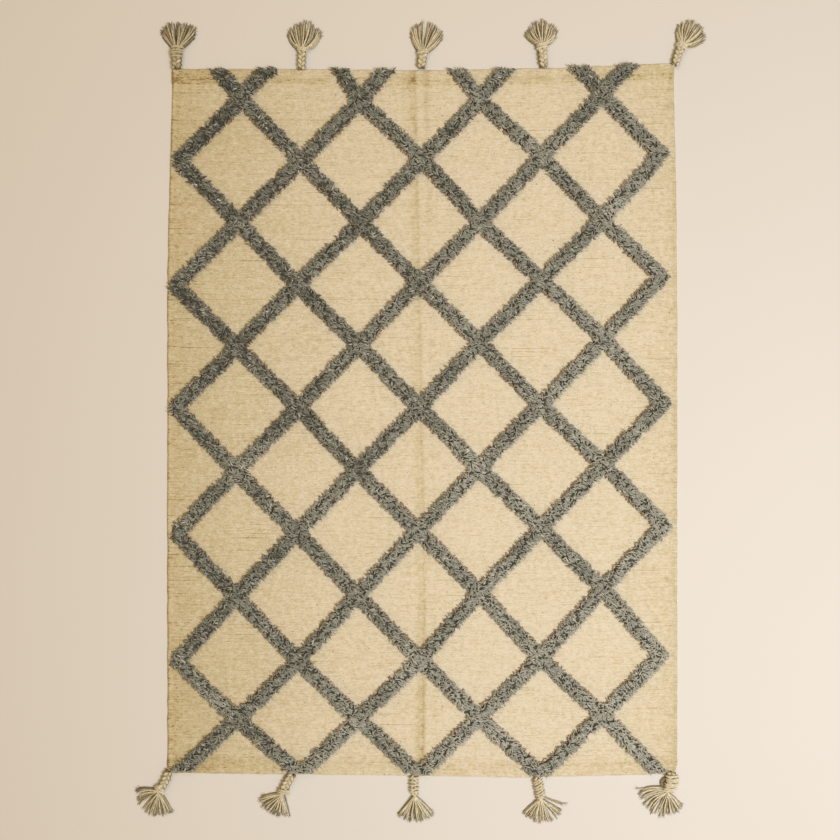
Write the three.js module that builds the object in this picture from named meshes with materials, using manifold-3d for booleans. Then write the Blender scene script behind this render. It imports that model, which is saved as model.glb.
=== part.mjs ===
// A flat-woven wool rug of about 5 by 7 feet, lying face up, with a raised diamond trellis of long pile
// knotted into it and five tassels on each end.
// Millimetres: +X across the rug, +Y along it and +Z up, with the rug resting on the surface z = 0.
import * as THREE from "three";
import { mergeVertices } from "three/addons/utils/BufferGeometryUtils.js";
import Module from "manifold-3d";

const wasm = await Module();
wasm.setup();
const { clamp, lerp, smoothstep, seededRandom } = THREE.MathUtils;

// Driving dimensions
const CLOTH = 4; // thickness of the weave
const GAP = 0.3; // clearance between pieces that lie against each other
const RIM = { width: 4, drop: 1.4 }; // the rounding of the cloth's edges
const CREASE = { depth: 1.3, reach: 9 }; // the trough that folding left down the middle
// Hems are folded under, so the cloth stands higher over them.
const HEMS = {
  top: { depth: 43, rise: 4, slope: 9, waver: 2.5 },
  bottom: { depth: 34, rise: 2.2, slope: 9, waver: 2 },
};
const HEM_WAVE = 120; // how slowly a hem's depth wavers across the rug
const GRID = { across: 7, along: 16 }; // lines of the cloth's surface beside the crease, and between hems
const PILE = {
  footHalf: 25, // half the width of a band of pile at its foot
  crownShare: 0.64, // how much of that width the crown keeps
  height: 13,
  lump: 2.4, // how much the crown rises and falls
  lock: 2.3, // how far locks stand out at the rim
  stray: 2, // how unevenly feet and crown lie to the sides
  steps: 7, // cross-sections from one crossing to the next
  rise: 0.05, // how far above the trimming of the hems the flat foot of the pile stays
  topEnd: { half: 27, past: 4 }, // half a band's width along the top edge, and its reach past the edge
  bottomEnd: { half: 25, past: -3 }, // the same at the bottom edge, where it stops short
};
const STRANDS = {
  lower: 10, // strands that lie on the floor, in each tassel
  upper: 9, // strands that lie over the gaps between them
  width: 4.2,
  height: 3.6,
  along: [0, 0.45, 1], // where the cross-sections are: root, bend and tip
  scale: [0.4, 1, 0.7], // thickness there
  lowerRise: [3.5, 0, 0], // height above the floor there
  upperRise: [9, 5.2, 4.4],
  start: 2, // how far past the knot, inside the collar, they start
  rootSpread: 8, // how far to each side of the collar's middle they start at most
  rootFlare: 0.2, // how much of a tip's distance to the side its root has
  bendFlare: 0.3, // how much more of it the bend has
  bendAhead: 0.45, // how far ahead of the root the bend is, as a share of the strand
  stray: 3.5, // how unevenly long they are
};
const WOOL = {
  ground: { color: 0xdcc594, roughness: 0.95, metalness: 0 },
  pile: { color: 0x6c736d, roughness: 1, metalness: 0 },
  tassel: { color: 0xa89d77, roughness: 0.95, metalness: 0 },
};

// The four edges as they lie. Each row says where an edge is at one place along it.
const LEFT_EDGE = [
  { y: 1060, x: -741 },
  { y: 960, x: -742 },
  { y: 646, x: -751 },
  { y: 420, x: -756 },
  { y: -1040, x: -756 },
  { y: -1058, x: -749 },
];
const RIGHT_EDGE = [
  { y: 1070, x: 766 },
  { y: 1020, x: 759 },
  { y: 690, x: 768 },
  { y: 300, x: 771 },
  { y: -1030, x: 771 },
  { y: -1058, x: 762 },
];
const TOP_EDGE = [
  { x: -756, y: 1058 },
  { x: 0, y: 1060 },
  { x: 400, y: 1064 },
  { x: 771, y: 1071 },
];
const BOTTOM_EDGE = [
  { x: -756, y: -1053 },
  { x: -400, y: -1057 },
  { x: -60, y: -1061 },
  { x: 320, y: -1067 },
  { x: 771, y: -1055 },
];
const CREASE_LINE = [
  { y: 1060, x: -17 },
  { y: 0, x: 1 },
  { y: -1060, x: 5 },
];

// Where the bands of pile leave the top edge, in pairs that meet at the first row of crossings.
const TOP_ENDS = [
  { first: -599, second: -455 },
  { first: -239, second: -99 },
  { first: 116, second: 262 },
  { first: 484, second: 624 },
];
// Rows of crossings from the top down: where each crossing lies across the rug, and how far along it the
// first and the last one lie. Rows sag a little in between. The last row is the bottom edge.
const ROW_SAG = 4.5;
const CROSSINGS = [
  { across: [-535, -182, 177, 542], first: 961, last: 974 },
  { across: [-724, -362, 0, 359, 715], first: 784, last: 787 },
  { across: [-544, -182, 174, 539], first: 595, last: 602 },
  { across: [-730, -368, -9, 359, 715], first: 407, last: 430 },
  { across: [-541, -185, 174, 542], first: 224, last: 245 },
  { across: [-733, -371, -6, 356, 718], first: 39, last: 51 },
  { across: [-553, -188, 171, 542], first: -153, last: -131 },
  { across: [-730, -374, -9, 356, 721], first: -338, last: -314 },
  { across: [-550, -191, 174, 539], first: -530, last: -503 },
  { across: [-730, -368, -3, 356, 709], first: -720, last: -703 },
  { across: [-547, -188, 171, 539], first: -890, last: -878 },
  { across: [-716, -365, -6, 362, 718], first: -1056, last: -1056 },
];
// How far the outer point of a turn at a side edge reaches past the middle of its band.
const TURN_TIPS = { left: 20, right: 33 };

// Each tassel: where its neck leaves the cloth, where its collar is tied, and where the outer strands and
// the middle ones end.
const TASSELS = [
  { name: "top_1", root: [-726, 1057], knot: [-727, 1116],
    left: [-777, 1138], end: [-726, 1193], right: [-672, 1138] },
  { name: "top_2", root: [-357, 1058], knot: [-353, 1114],
    left: [-393, 1144], end: [-350, 1193], right: [-297, 1144] },
  { name: "top_3", root: [5, 1060], knot: [10, 1110],
    left: [-25, 1144], end: [12, 1195], right: [69, 1141] },
  { name: "top_4", root: [369, 1064], knot: [366, 1128],
    left: [318, 1150], end: [369, 1199], right: [411, 1150] },
  { name: "top_5", root: [761, 1069], knot: [788, 1126],
    left: [762, 1146], end: [814, 1201], right: [850, 1126] },
  { name: "bottom_1", root: [-753, -1054], knot: [-778, -1104],
    left: [-852, -1118], end: [-812, -1174], right: [-746, -1172] },
  { name: "bottom_2", root: [-386, -1060], knot: [-406, -1102],
    left: [-480, -1128], end: [-440, -1176], right: [-398, -1179] },
  { name: "bottom_3", root: [-18, -1062], knot: [-16, -1110],
    left: [-62, -1182], end: [-12, -1197], right: [37, -1174] },
  { name: "bottom_4", root: [351, -1067], knot: [366, -1122],
    left: [320, -1180], end: [363, -1201], right: [414, -1174] },
  { name: "bottom_5", root: [750, -1058], knot: [741, -1104],
    left: [650, -1104], end: [708, -1180], right: [777, -1156] },
];
// Cross-sections of a neck and its collar, from the cloth (share 0) to the knot (share 1) and past it.
const NECK = [
  { share: 0, halfWidth: 8, height: 11, lobe: 0.1 },
  { share: 0.14, halfWidth: 11, height: 17, lobe: 0.2 },
  { share: 0.3, halfWidth: 12.5, height: 20, lobe: 0.22 },
  { share: 0.46, halfWidth: 12, height: 20, lobe: 0.22 },
  { share: 0.62, halfWidth: 12.5, height: 20, lobe: 0.22 },
  { share: 0.78, halfWidth: 11.5, height: 19, lobe: 0.16 },
  { share: 0.88, halfWidth: 14, height: 22, lobe: 0.03 },
  { share: 0.97, halfWidth: 12.5, height: 20, lobe: 0.03 },
  { share: 1.06, halfWidth: 14, height: 21, lobe: 0.03 },
];
const BRAID = { lobes: 3, sides: 9, turns: 1.1 };

const WELD = 1e-3; // points nearer to each other than this are one

// Small uneven numbers, the same ones each time
const SEED = 2026;
seededRandom(SEED);
const uneven = (size) => (2 * seededRandom() - 1) * size;

// The value of one column of a table at a place along another, in straight steps from row to row.
function follow(table, key, value, at) {
  const rows = [...table].sort((a, b) => a[key] - b[key]);
  const next = rows.findIndex((row) => row[key] >= at);
  if (next <= 0) return rows.at(next)[value];
  const [low, high] = [rows[next - 1], rows[next]];
  return lerp(low[value], high[value], (at - low[key]) / (high[key] - low[key]));
}

const spread = (from, to, count) => Array.from({ length: count }, (_, i) => lerp(from, to, i / (count - 1)));

function closedSolid(geometry) {
  geometry.deleteAttribute("normal");
  geometry.deleteAttribute("uv");
  const merged = mergeVertices(geometry, WELD);
  return new wasm.Manifold(
    new wasm.Mesh({
      numProp: 3,
      vertProperties: new Float32Array(merged.attributes.position.array),
      triVerts: new Uint32Array(merged.index.array),
    }),
  );
}

// A closed solid through cross-sections with equally many points, each listed turning left about the way
// ahead.
function loft(sections) {
  const sides = sections[0].length;
  const last = (sections.length - 1) * sides;
  const faces = [];
  for (let side = 0; side < sides; side++) {
    const next = (side + 1) % sides;
    for (let ring = 0; ring < last; ring += sides) {
      const [a, b] = [ring + side, ring + next];
      faces.push(a, b, b + sides, a, b + sides, a + sides);
    }
    if (side > 0 && next > 0) faces.push(0, next, side, last, last + side, last + next);
  }
  return new THREE.BufferGeometry().setFromPoints(sections.flat()).setIndex(faces);
}

const edgesAt = (x, y) => ({
  left: follow(LEFT_EDGE, "y", "x", y),
  right: follow(RIGHT_EDGE, "y", "x", y),
  bottom: follow(BOTTOM_EDGE, "x", "y", x),
  top: follow(TOP_EDGE, "x", "y", x),
  crease: follow(CREASE_LINE, "y", "x", y),
});
const hemDepth = (hem, x) => hem.depth + hem.waver * Math.sin(x / HEM_WAVE);

// How high the cloth's face is: the weave, its hems, the trough of the crease and the rounding at the rim
function faceHeight(x, y) {
  const { left, right, bottom, top, crease } = edgesAt(x, y);
  const hemRise = (hem, inside) => {
    const depth = hemDepth(hem, x);
    return hem.rise * (1 - smoothstep(inside, depth, depth + hem.slope));
  };
  const inside = Math.min(x - left, right - x, y - bottom, top - y);
  const rimDrop = RIM.drop * (1 - smoothstep(inside, 0, RIM.width));
  const creaseDrop = CREASE.depth * (1 - smoothstep(Math.abs(x - crease), 0, CREASE.reach));
  return CLOTH + hemRise(HEMS.top, top - y) + hemRise(HEMS.bottom, y - bottom) - rimDrop - creaseDrop;
}

// Grid lines across the cloth at one height along it, and along it at one place across
const linesAcross = ({ left, right, crease }) => [
  left,
  ...spread(left + RIM.width, crease - CREASE.reach, GRID.across),
  crease,
  ...spread(crease + CREASE.reach, right - RIM.width, GRID.across),
  right,
];
const linesAlong = ({ bottom, top }, x) => {
  const [low, high] = [hemDepth(HEMS.bottom, x), hemDepth(HEMS.top, x)];
  return [
    bottom,
    bottom + RIM.width,
    bottom + low,
    ...spread(bottom + low + HEMS.bottom.slope, top - high - HEMS.top.slope, GRID.along),
    top - high,
    top - RIM.width,
    top,
  ];
};

// The cloth as a thin slab whose grid follows its edges. grow makes it thicker all round, to trim what lies
// on it.
function clothGeometry(grow = 0) {
  const columns = linesAcross(edgesAt(0, 0)).length - 1;
  const rows = linesAlong(edgesAt(0, 0), 0).length - 1;
  const geometry = new THREE.BoxGeometry(columns, rows, 1, columns, rows, 1);
  const place = geometry.attributes.position;
  for (let i = 0; i < place.count; i++) {
    const column = Math.round(place.getX(i) + columns / 2);
    const row = Math.round(place.getY(i) + rows / 2);
    const nominal = linesAlong(edgesAt(0, 0), 0)[row];
    const x = linesAcross(edgesAt(0, nominal))[column];
    const y = linesAlong(edgesAt(x, nominal), x)[row];
    const outward = (index, last) => (index === last) - (index === 0);
    const z = place.getZ(i) > 0 ? faceHeight(x, y) + grow : -grow;
    place.setXYZ(i, x + grow * outward(column, columns), y + grow * outward(row, rows), z);
  }
  return geometry;
}

// The crossings that one band passes from the top edge to the bottom one. It turns back at the side edges.
function bandPath(start, pair, towardsRight) {
  const path = [new THREE.Vector2(start, follow(TOP_EDGE, "x", "y", start) + PILE.topEnd.past)];
  let index = pair;
  let right = towardsRight;
  CROSSINGS.forEach(({ across, first, last }, row) => {
    const wide = row % 2 === 1;
    if (row > 0) index += wide ? Number(right) : Number(right) - 1;
    const share = index / (across.length - 1);
    const sag = ROW_SAG * 4 * share * (1 - share);
    const point = new THREE.Vector2(across[index], lerp(first, last, share) - sag);
    if (row === CROSSINGS.length - 1) point.y = follow(BOTTOM_EDGE, "x", "y", point.x) - PILE.bottomEnd.past;
    point.turn = wide && index === 0 ? "left" : wide && index === across.length - 1 ? "right" : null;
    path.push(point);
    if (point.turn) right = point.turn === "left";
  });
  return path;
}

// One cross-section of a band: feet and crown on each side. side points to the band's left, and half gives
// the width to the left and right.
function bandSection(point, side, half, lock = 0) {
  const corner = (out, height) => {
    const spot = point.clone().addScaledVector(side, out);
    return new THREE.Vector3(spot.x, spot.y, height(spot));
  };
  const foot = () => CLOTH + GAP + PILE.rise;
  const crown = ({ x, y }) => faceHeight(x, y) + PILE.height + uneven(PILE.lump);
  return [
    corner(half.left + lock + uneven(PILE.stray), foot),
    corner(half.left * PILE.crownShare + uneven(PILE.stray), crown),
    corner(-half.right * PILE.crownShare + uneven(PILE.stray), crown),
    corner(-half.right - lock + uneven(PILE.stray), foot),
  ];
}

const bothSides = (half) => ({ left: half, right: half });

function squareTo(from, to) {
  const ahead = to.clone().sub(from).normalize();
  return new THREE.Vector2(-ahead.y, ahead.x);
}

// The cross-section at one crossing, turn or end of a band. Ends and turns are mitred straight across the
// rug.
function crossingSection(path, k) {
  const acrossRug = new THREE.Vector2(1, 0);
  const [before, point, after] = [path[k - 1], path[k], path[k + 1]];
  if (!before) return bandSection(point, acrossRug, bothSides(PILE.topEnd.half));
  if (!after) return bandSection(point, acrossRug, bothSides(PILE.bottomEnd.half));
  if (!point.turn) return bandSection(point, squareTo(before, after), bothSides(PILE.footHalf));
  const half = bothSides(PILE.footHalf / squareTo(point, after).x);
  half[point.turn === "left" ? "right" : "left"] = TURN_TIPS[point.turn];
  return bandSection(point, acrossRug, half);
}

// A band as a lumpy ridge, with locks standing out at every other cross-section of its rim
function bandGeometry(path) {
  const sections = path.slice(0, -1).flatMap((point, k) => {
    const after = path[k + 1];
    const first = k === 0 || point.turn ? 2 : 1;
    const last = after.turn ? PILE.steps - 2 : PILE.steps - 1;
    const between = [];
    for (let step = first; step <= last; step++) {
      const spot = point.clone().lerp(after, step / PILE.steps);
      const lock = step % 2 ? PILE.lock : -PILE.lock / 2;
      between.push(bandSection(spot, squareTo(point, after), bothSides(PILE.footHalf), lock));
    }
    return [crossingSection(path, k), ...between];
  });
  return loft([...sections, crossingSection(path, path.length - 1)]);
}

function pileSolid() {
  const bands = TOP_ENDS.flatMap(({ first, second }, pair) => [
    bandPath(first, pair, true),
    bandPath(second, pair, false),
  ]);
  return bands
    .map((path) => closedSolid(bandGeometry(path)))
    .reduce((all, band) => all.add(band))
    .subtract(closedSolid(clothGeometry(GAP)));
}

// The frame of a tassel: the way ahead from its root to its knot, and the way to its left
function tasselFrame({ root, knot }) {
  const [start, tie] = [new THREE.Vector3(...root, 0), new THREE.Vector3(...knot, 0)];
  const ahead = tie.clone().sub(start);
  const length = ahead.length();
  ahead.normalize();
  return { start, tie, ahead, length, side: new THREE.Vector3(-ahead.y, ahead.x, 0) };
}

// The braided neck and its wrapped collar. The braid's lobes turn about the neck, and it rests on its flat
// side.
function neckGeometry({ start, ahead, side, length }) {
  return loft(
    NECK.map(({ share, halfWidth, height, lobe }) =>
      Array.from({ length: BRAID.sides }, (_, i) => {
        const angle = (2 * Math.PI * i) / BRAID.sides;
        const turn = 2 * Math.PI * BRAID.turns * share;
        const reach = 1 + lobe * Math.cos(BRAID.lobes * angle - turn * BRAID.lobes);
        const z = height / 2 + (height / 2) * reach * Math.sin(angle);
        return start
          .clone()
          .addScaledVector(ahead, length * share)
          .addScaledVector(side, halfWidth * reach * Math.cos(angle))
          .setZ(Math.max(z, 0));
      }),
    ),
  );
}

// One strand from inside the collar to its tip. Lower strands lie on the floor on a flat side; upper ones lie
// over the gaps between them with an edge down.
function strandGeometry({ tie, ahead, side }, tip, upper) {
  const rise = upper ? STRANDS.upperRise : STRANDS.lowerRise;
  const corners = upper
    ? [{ out: 1, up: 1 }, { out: -1, up: 1 }, { out: 0, up: 0 }]
    : [{ out: 1, up: 0 }, { out: 0, up: 1 }, { out: -1, up: 0 }];
  const out = tip.clone().sub(tie).dot(side);
  const rootOut = clamp(out * STRANDS.rootFlare, -STRANDS.rootSpread, STRANDS.rootSpread);
  const root = tie.clone().addScaledVector(ahead, STRANDS.start).addScaledVector(side, rootOut);
  const bend = root.clone().addScaledVector(ahead, root.distanceTo(tip) * STRANDS.bendAhead);
  bend.addScaledVector(side, out * STRANDS.bendFlare);
  const curve = new THREE.QuadraticBezierCurve3(root, bend, tip);
  const section = (along, i) => {
    const way = curve.getTangent(along);
    const left = new THREE.Vector3(-way.y, way.x, 0).normalize();
    const scale = STRANDS.scale[i];
    return corners.map((corner) =>
      curve
        .getPoint(along)
        .addScaledVector(left, (corner.out * STRANDS.width * scale) / 2)
        .setZ(rise[i] + corner.up * STRANDS.height * scale),
    );
  };
  return loft(STRANDS.along.map(section));
}

// A whole tassel. Its strands end along one curve, which runs from the left tip through the end to the right
// tip. Its control point is pulled past the end for that.
function tasselSolid(tassel) {
  const frame = tasselFrame(tassel);
  const [left, end, right] = ["left", "end", "right"].map((key) => new THREE.Vector3(...tassel[key], 0));
  const pull = end.clone().multiplyScalar(2).addScaledVector(left, -0.5).addScaledVector(right, -0.5);
  const hemline = new THREE.QuadraticBezierCurve3(left, pull, right);
  const strand = (share, upper) => {
    const tip = hemline.getPoint(share);
    tip.addScaledVector(tip.clone().sub(frame.tie).normalize(), uneven(STRANDS.stray));
    return closedSolid(strandGeometry(frame, tip, upper));
  };
  const pitch = 1 / (STRANDS.lower - 1);
  const lower = spread(0, 1, STRANDS.lower).map((share) => strand(share, false));
  const upper = spread(pitch / 2, 1 - pitch / 2, STRANDS.upper).map((share) => strand(share, true));
  return [...lower, ...upper]
    .reduce((all, one) => all.add(one), closedSolid(neckGeometry(frame)))
    .subtract(closedSolid(clothGeometry(GAP)));
}

function meshOf(name, solid, finish) {
  const { numProp, vertProperties, triVerts } = solid.getMesh();
  const geometry = new THREE.BufferGeometry();
  geometry.setAttribute("position", new THREE.BufferAttribute(vertProperties, numProp));
  geometry.setIndex(new THREE.BufferAttribute(triVerts, 1));
  geometry.computeVertexNormals();
  const mesh = new THREE.Mesh(geometry, new THREE.MeshStandardMaterial(finish));
  mesh.name = name;
  return mesh;
}

const rug = new THREE.Group();
rug.add(meshOf("ground", closedSolid(clothGeometry()), WOOL.ground));
rug.add(meshOf("pile_trellis", pileSolid(), WOOL.pile));
for (const tassel of TASSELS) rug.add(meshOf(`tassel_${tassel.name}`, tasselSolid(tassel), WOOL.tassel));

// The origin is under the middle of the whole rug, tassels included.
const middle = new THREE.Box3().setFromObject(rug).getCenter(new THREE.Vector3());
rug.position.set(-middle.x, -middle.y, 0);

export default rug;
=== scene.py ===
# %% [markdown]
# # A flat-woven rug with a raised trellis and tassels
# The rug is woven flat in cream wool. Long blue-grey pile is knotted into it along a trellis of diamonds, its
# two ends are folded under as hems, and five braided tassels are tied to each of them.
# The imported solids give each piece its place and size. They could be shown with better materials alone, but
# yarn and pile need forms of their own, so here each solid gets a finer piece that stands for it.
# All lengths are in metres. The rug lies in the X-Y plane, and Z is up.

# %% Load the solids
import math

import bpy
import numpy as np
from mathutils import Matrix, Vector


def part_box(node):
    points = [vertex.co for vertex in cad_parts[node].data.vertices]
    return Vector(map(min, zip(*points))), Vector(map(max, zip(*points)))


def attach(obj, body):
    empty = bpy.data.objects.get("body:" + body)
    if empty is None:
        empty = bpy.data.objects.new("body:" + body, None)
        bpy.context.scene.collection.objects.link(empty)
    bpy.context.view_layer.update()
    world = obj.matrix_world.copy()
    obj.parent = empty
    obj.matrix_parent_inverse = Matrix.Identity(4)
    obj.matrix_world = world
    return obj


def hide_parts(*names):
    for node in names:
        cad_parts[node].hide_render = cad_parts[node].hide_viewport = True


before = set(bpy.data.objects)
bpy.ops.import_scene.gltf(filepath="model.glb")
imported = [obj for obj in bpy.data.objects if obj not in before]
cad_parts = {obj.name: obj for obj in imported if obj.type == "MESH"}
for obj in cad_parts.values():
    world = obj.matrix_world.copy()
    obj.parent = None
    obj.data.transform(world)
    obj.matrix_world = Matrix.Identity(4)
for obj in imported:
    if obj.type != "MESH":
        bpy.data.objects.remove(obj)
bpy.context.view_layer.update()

# %% [markdown]
# ## The camera
# The rug is seen from straight above, so its outline is nearly a plan. A camera with parallel rays would give
# the plan itself, but then raised pile would hide nothing. A real camera stands a few metres up, and pile
# far from the middle leans outward in its picture. So this one is a perspective camera, and its lens is
# worked out from its height and from the width of floor that the square picture shows.

# %% Camera
AIM = (0.0003, 0.0039)
CAMERA_HEIGHT = 2.6
FLOOR_SHOWN = 2.52
SENSOR_MM = 36.0

lens = bpy.data.cameras.new("camera")
lens.sensor_width = SENSOR_MM
lens.lens = SENSOR_MM * CAMERA_HEIGHT / FLOOR_SHOWN
camera = bpy.data.objects.new("camera", lens)
bpy.context.scene.collection.objects.link(camera)
bpy.context.scene.camera = camera
print("focal length in mm:", round(lens.lens, 1))

# %% [markdown]
# ## Where the cloth ends
# No edge of a woven rug is quite straight. Each edge could be a curve object, but a short table of places and
# straight steps between them is enough, and it can be asked for the edge's place at any number of points at
# once. The tables have their zero near the rug's middle, and the solid of the cloth says how far they move.

# %% Edges
LEFT_EDGE = {
    "y": (-1.058, -1.040, 0.420, 0.646, 0.960, 1.060),
    "x": (-0.749, -0.756, -0.756, -0.751, -0.742, -0.741),
}
RIGHT_EDGE = {
    "y": (-1.058, -1.030, 0.300, 0.690, 1.020, 1.070),
    "x": (0.762, 0.771, 0.771, 0.768, 0.759, 0.766),
}
TOP_EDGE = {
    "x": (-0.756, -0.300, 0.060, 0.240, 0.420, 0.560, 0.771),
    "y": (1.055, 1.053, 1.050, 1.054, 1.057, 1.064, 1.071),
}
BOTTOM_EDGE = {"x": (-0.756, -0.400, -0.060, 0.320, 0.771), "y": (-1.053, -1.057, -1.061, -1.067, -1.055)}
CREASE_LINE = {"y": (-1.060, -0.500, 0.0, 1.060), "x": (0.009, 0.012, 0.003, -0.017)}


def steps_through(table, known, wanted):
    """A function that gives the wanted place for any known one, by straight steps through the table."""
    return lambda places: np.interp(places, table[known], table[wanted])


left_edge, right_edge = steps_through(LEFT_EDGE, "y", "x"), steps_through(RIGHT_EDGE, "y", "x")
top_edge, bottom_edge = steps_through(TOP_EDGE, "x", "y"), steps_through(BOTTOM_EDGE, "x", "y")
crease_line = steps_through(CREASE_LINE, "y", "x")


def from_edges(x, y):
    """How far inside the left, right, bottom and top edges a point lies."""
    return x - left_edge(y), right_edge(y) - x, y - bottom_edge(x), top_edge(x) - y


cloth_low, cloth_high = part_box("ground")
OFFSET = np.array([
    (cloth_low.x + cloth_high.x - min(LEFT_EDGE["x"]) - max(RIGHT_EDGE["x"])) / 2,
    (cloth_low.y + cloth_high.y - min(BOTTOM_EDGE["y"]) - max(TOP_EDGE["y"])) / 2,
    0.0,
])
camera.location = (AIM[0] + OFFSET[0], AIM[1] + OFFSET[1], CAMERA_HEIGHT)
print("tables move by, in mm:", np.round(OFFSET * 1000, 2))

# %% [markdown]
# ## Unevenness
# Handwork is uneven at every scale: the weave swells over a hand's width, and tufts lean together over a
# thumb's width. Blender's noise textures can displace a mesh, but reading one for a hundred thousand points
# is slow. A grid of random numbers with smooth steps between them does the same in one go, and a fixed seed
# gives the same rug each time. Each use has a seed of its own.

# %% Smooth noise
NOISE_GRID = 509


def wander(x, y, cell, seed):
    """Smooth uneven numbers from -1 to 1 over the plane, with about one swell in each cell."""
    grid = np.random.default_rng(seed).uniform(-1, 1, (NOISE_GRID, NOISE_GRID))
    u, v = np.asarray(x) / cell, np.asarray(y) / cell
    column, row = np.floor(u).astype(int), np.floor(v).astype(int)
    across, along = (part * part * (3 - 2 * part) for part in (u - column, v - row))

    def at(right, up):
        return grid[(column + right) % NOISE_GRID, (row + up) % NOISE_GRID]

    low = at(0, 0) * (1 - across) + at(1, 0) * across
    high = at(0, 1) * (1 - across) + at(1, 1) * across
    return low * (1 - along) + high * along


def eased(value, start, end):
    """0 before start, 1 after end, and a smooth step between them."""
    share = np.clip((value - start) / (end - start), 0, 1)
    return share * share * (3 - 2 * share)


print("noise range:", wander(np.linspace(0, 1, 500), 0.3, 0.01, 1).round(2)[[0, 250, 499]])

# %% [markdown]
# ## Small tools for finishes
# Each finish is a tree of shader nodes. Trees could be built by hand in the node editor, but a script needs
# them in words, so these helpers add one node each and return its output. Patterns read the object's own
# coordinates, which are metres here, so a scale of 100 means a swell about every centimetre.

# %% Node helpers
DULL_GLOSS, SHEEN_SPREAD = 0.2, 0.6


def feed(tree, socket, value):
    """Gives a socket another node's output or a plain value."""
    if isinstance(value, bpy.types.NodeSocket):
        tree.links.new(value, socket)
    else:
        socket.default_value = value


def new_finish(name, roughness, sheen):
    """A material with a soft, dull surface, and its node tree and shader."""
    material = bpy.data.materials.new(name)
    material.use_nodes = True
    shader = material.node_tree.nodes["Principled BSDF"]
    shader.inputs["Roughness"].default_value = roughness
    shader.inputs["Specular IOR Level"].default_value = DULL_GLOSS
    shader.inputs["Sheen Weight"].default_value = sheen
    shader.inputs["Sheen Roughness"].default_value = SHEEN_SPREAD
    return material, material.node_tree, shader


def own_place(tree):
    """Where a point lies on its object in metres, as three outputs: across, along and up."""
    place = tree.nodes.new("ShaderNodeTexCoord")
    split = tree.nodes.new("ShaderNodeSeparateXYZ")
    tree.links.new(place.outputs["Object"], split.inputs["Vector"])
    return tuple(split.outputs)


def noise(tree, scale, stretch=(1, 1, 1), detail=2.0):
    place = tree.nodes.new("ShaderNodeTexCoord")
    mapping = tree.nodes.new("ShaderNodeMapping")
    mapping.inputs["Scale"].default_value = stretch
    texture = tree.nodes.new("ShaderNodeTexNoise")
    texture.inputs["Scale"].default_value = scale
    texture.inputs["Detail"].default_value = detail
    tree.links.new(place.outputs["Object"], mapping.inputs["Vector"])
    tree.links.new(mapping.outputs["Vector"], texture.inputs["Vector"])
    return texture.outputs["Fac"]


def attribute(tree, name):
    node = tree.nodes.new("ShaderNodeAttribute")
    node.attribute_name = name
    return node.outputs["Fac"]


def maths(tree, operation, first, second=0.0, third=0.0):
    node = tree.nodes.new("ShaderNodeMath")
    node.operation = operation
    for socket, value in zip(node.inputs, (first, second, third)):
        feed(tree, socket, value)
    return node.outputs[0]


def ramp(tree, share, stops):
    """Colours by a share from 0 to 1. stops are pairs of a place and a colour."""
    node = tree.nodes.new("ShaderNodeValToRGB")
    while len(node.color_ramp.elements) < len(stops):
        node.color_ramp.elements.new(1.0)
    for element, (place, colour) in zip(node.color_ramp.elements, stops):
        element.position = place
        element.color = (*colour, 1.0)
    feed(tree, node.inputs["Fac"], share)
    return node.outputs["Color"]


def mixed(tree, share, first, second, blend="MIX"):
    node = tree.nodes.new("ShaderNodeMix")
    node.data_type = "RGBA"
    node.blend_type = blend
    share_socket, first_socket, second_socket = node.inputs[0], node.inputs[6], node.inputs[7]
    feed(tree, share_socket, share)
    feed(tree, first_socket, first if isinstance(first, bpy.types.NodeSocket) else (*first, 1.0))
    feed(tree, second_socket, second if isinstance(second, bpy.types.NodeSocket) else (*second, 1.0))
    return node.outputs[2]


def raise_surface(tree, shader, height, distance):
    bump = tree.nodes.new("ShaderNodeBump")
    bump.inputs["Distance"].default_value = distance
    feed(tree, bump.inputs["Height"], height)
    tree.links.new(bump.outputs["Normal"], shader.inputs["Normal"])


print("helpers ready")

# %% [markdown]
# ## Small tools for pieces
# Many small things are quickest as one mesh from arrays: all points first, then all faces. Each piece gets
# its finish, rides on the rug's one body, and may carry numbers on its points, which the finish reads to
# shade one yarn apart from the next.


def add_object(name, points, faces, finish):
    """An object in the scene, with a mesh and a finish."""
    mesh = bpy.data.meshes.new(name)
    mesh.from_pydata(points, [], faces)
    mesh.materials.append(finish)
    added = bpy.data.objects.new(name, mesh)
    bpy.context.scene.collection.objects.link(added)
    return added


def add_piece(name, points, faces, finish, shades=None):
    """A smooth piece from points in the tables' frame. shades are numbers on its points, by name."""
    piece = add_object(name, (points + OFFSET).tolist(), faces, finish)
    for label, values in (shades or {}).items():
        shade = piece.data.attributes.new(label, "FLOAT", "POINT")
        shade.data.foreach_set("value", values.astype(np.float32))
    piece.data.shade_smooth()
    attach(piece, "root")
    return piece


# %% [markdown]
# ## The woven cloth
# The cloth is a weft-faced weave: cream wool packed so tightly over the warp that the warp shows only as fine
# ribs. It is one sheet, folded under at both ends, and it kept a crease down its middle from being folded. A
# flat plane with a bump pattern could stand for it, but its hems, its crease and its uneven swell catch the
# light from the side. So its upper face is a fine grid whose lines follow the edges, closer together where
# the surface bends, and one large flat face closes it underneath.

# %% Height of the cloth's face
CLOTH = 0.004
RIM_WIDTH, RIM_DROP = 0.003, 0.0016
CURL = {"rise": 0.0026, "middle": 0.0045, "width": 0.0040}
CREASE_REACH, CREASE_DEPTH = 0.009, 0.0013
TOP_HEM = {"depth": 0.039, "rise": 0.004, "slope": 0.009, "waver": 0.0025}
BOTTOM_HEM = {"depth": 0.034, "rise": 0.0022, "slope": 0.009, "waver": 0.002}
HEM_WAVE = 0.120


def hem_depth(hem, x):
    return hem["depth"] + hem["waver"] * np.sin(x / HEM_WAVE)


def hem_rise(hem, inside, x):
    depth = hem_depth(hem, x)
    return hem["rise"] * (1 - eased(inside, depth, depth + hem["slope"]))


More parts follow.
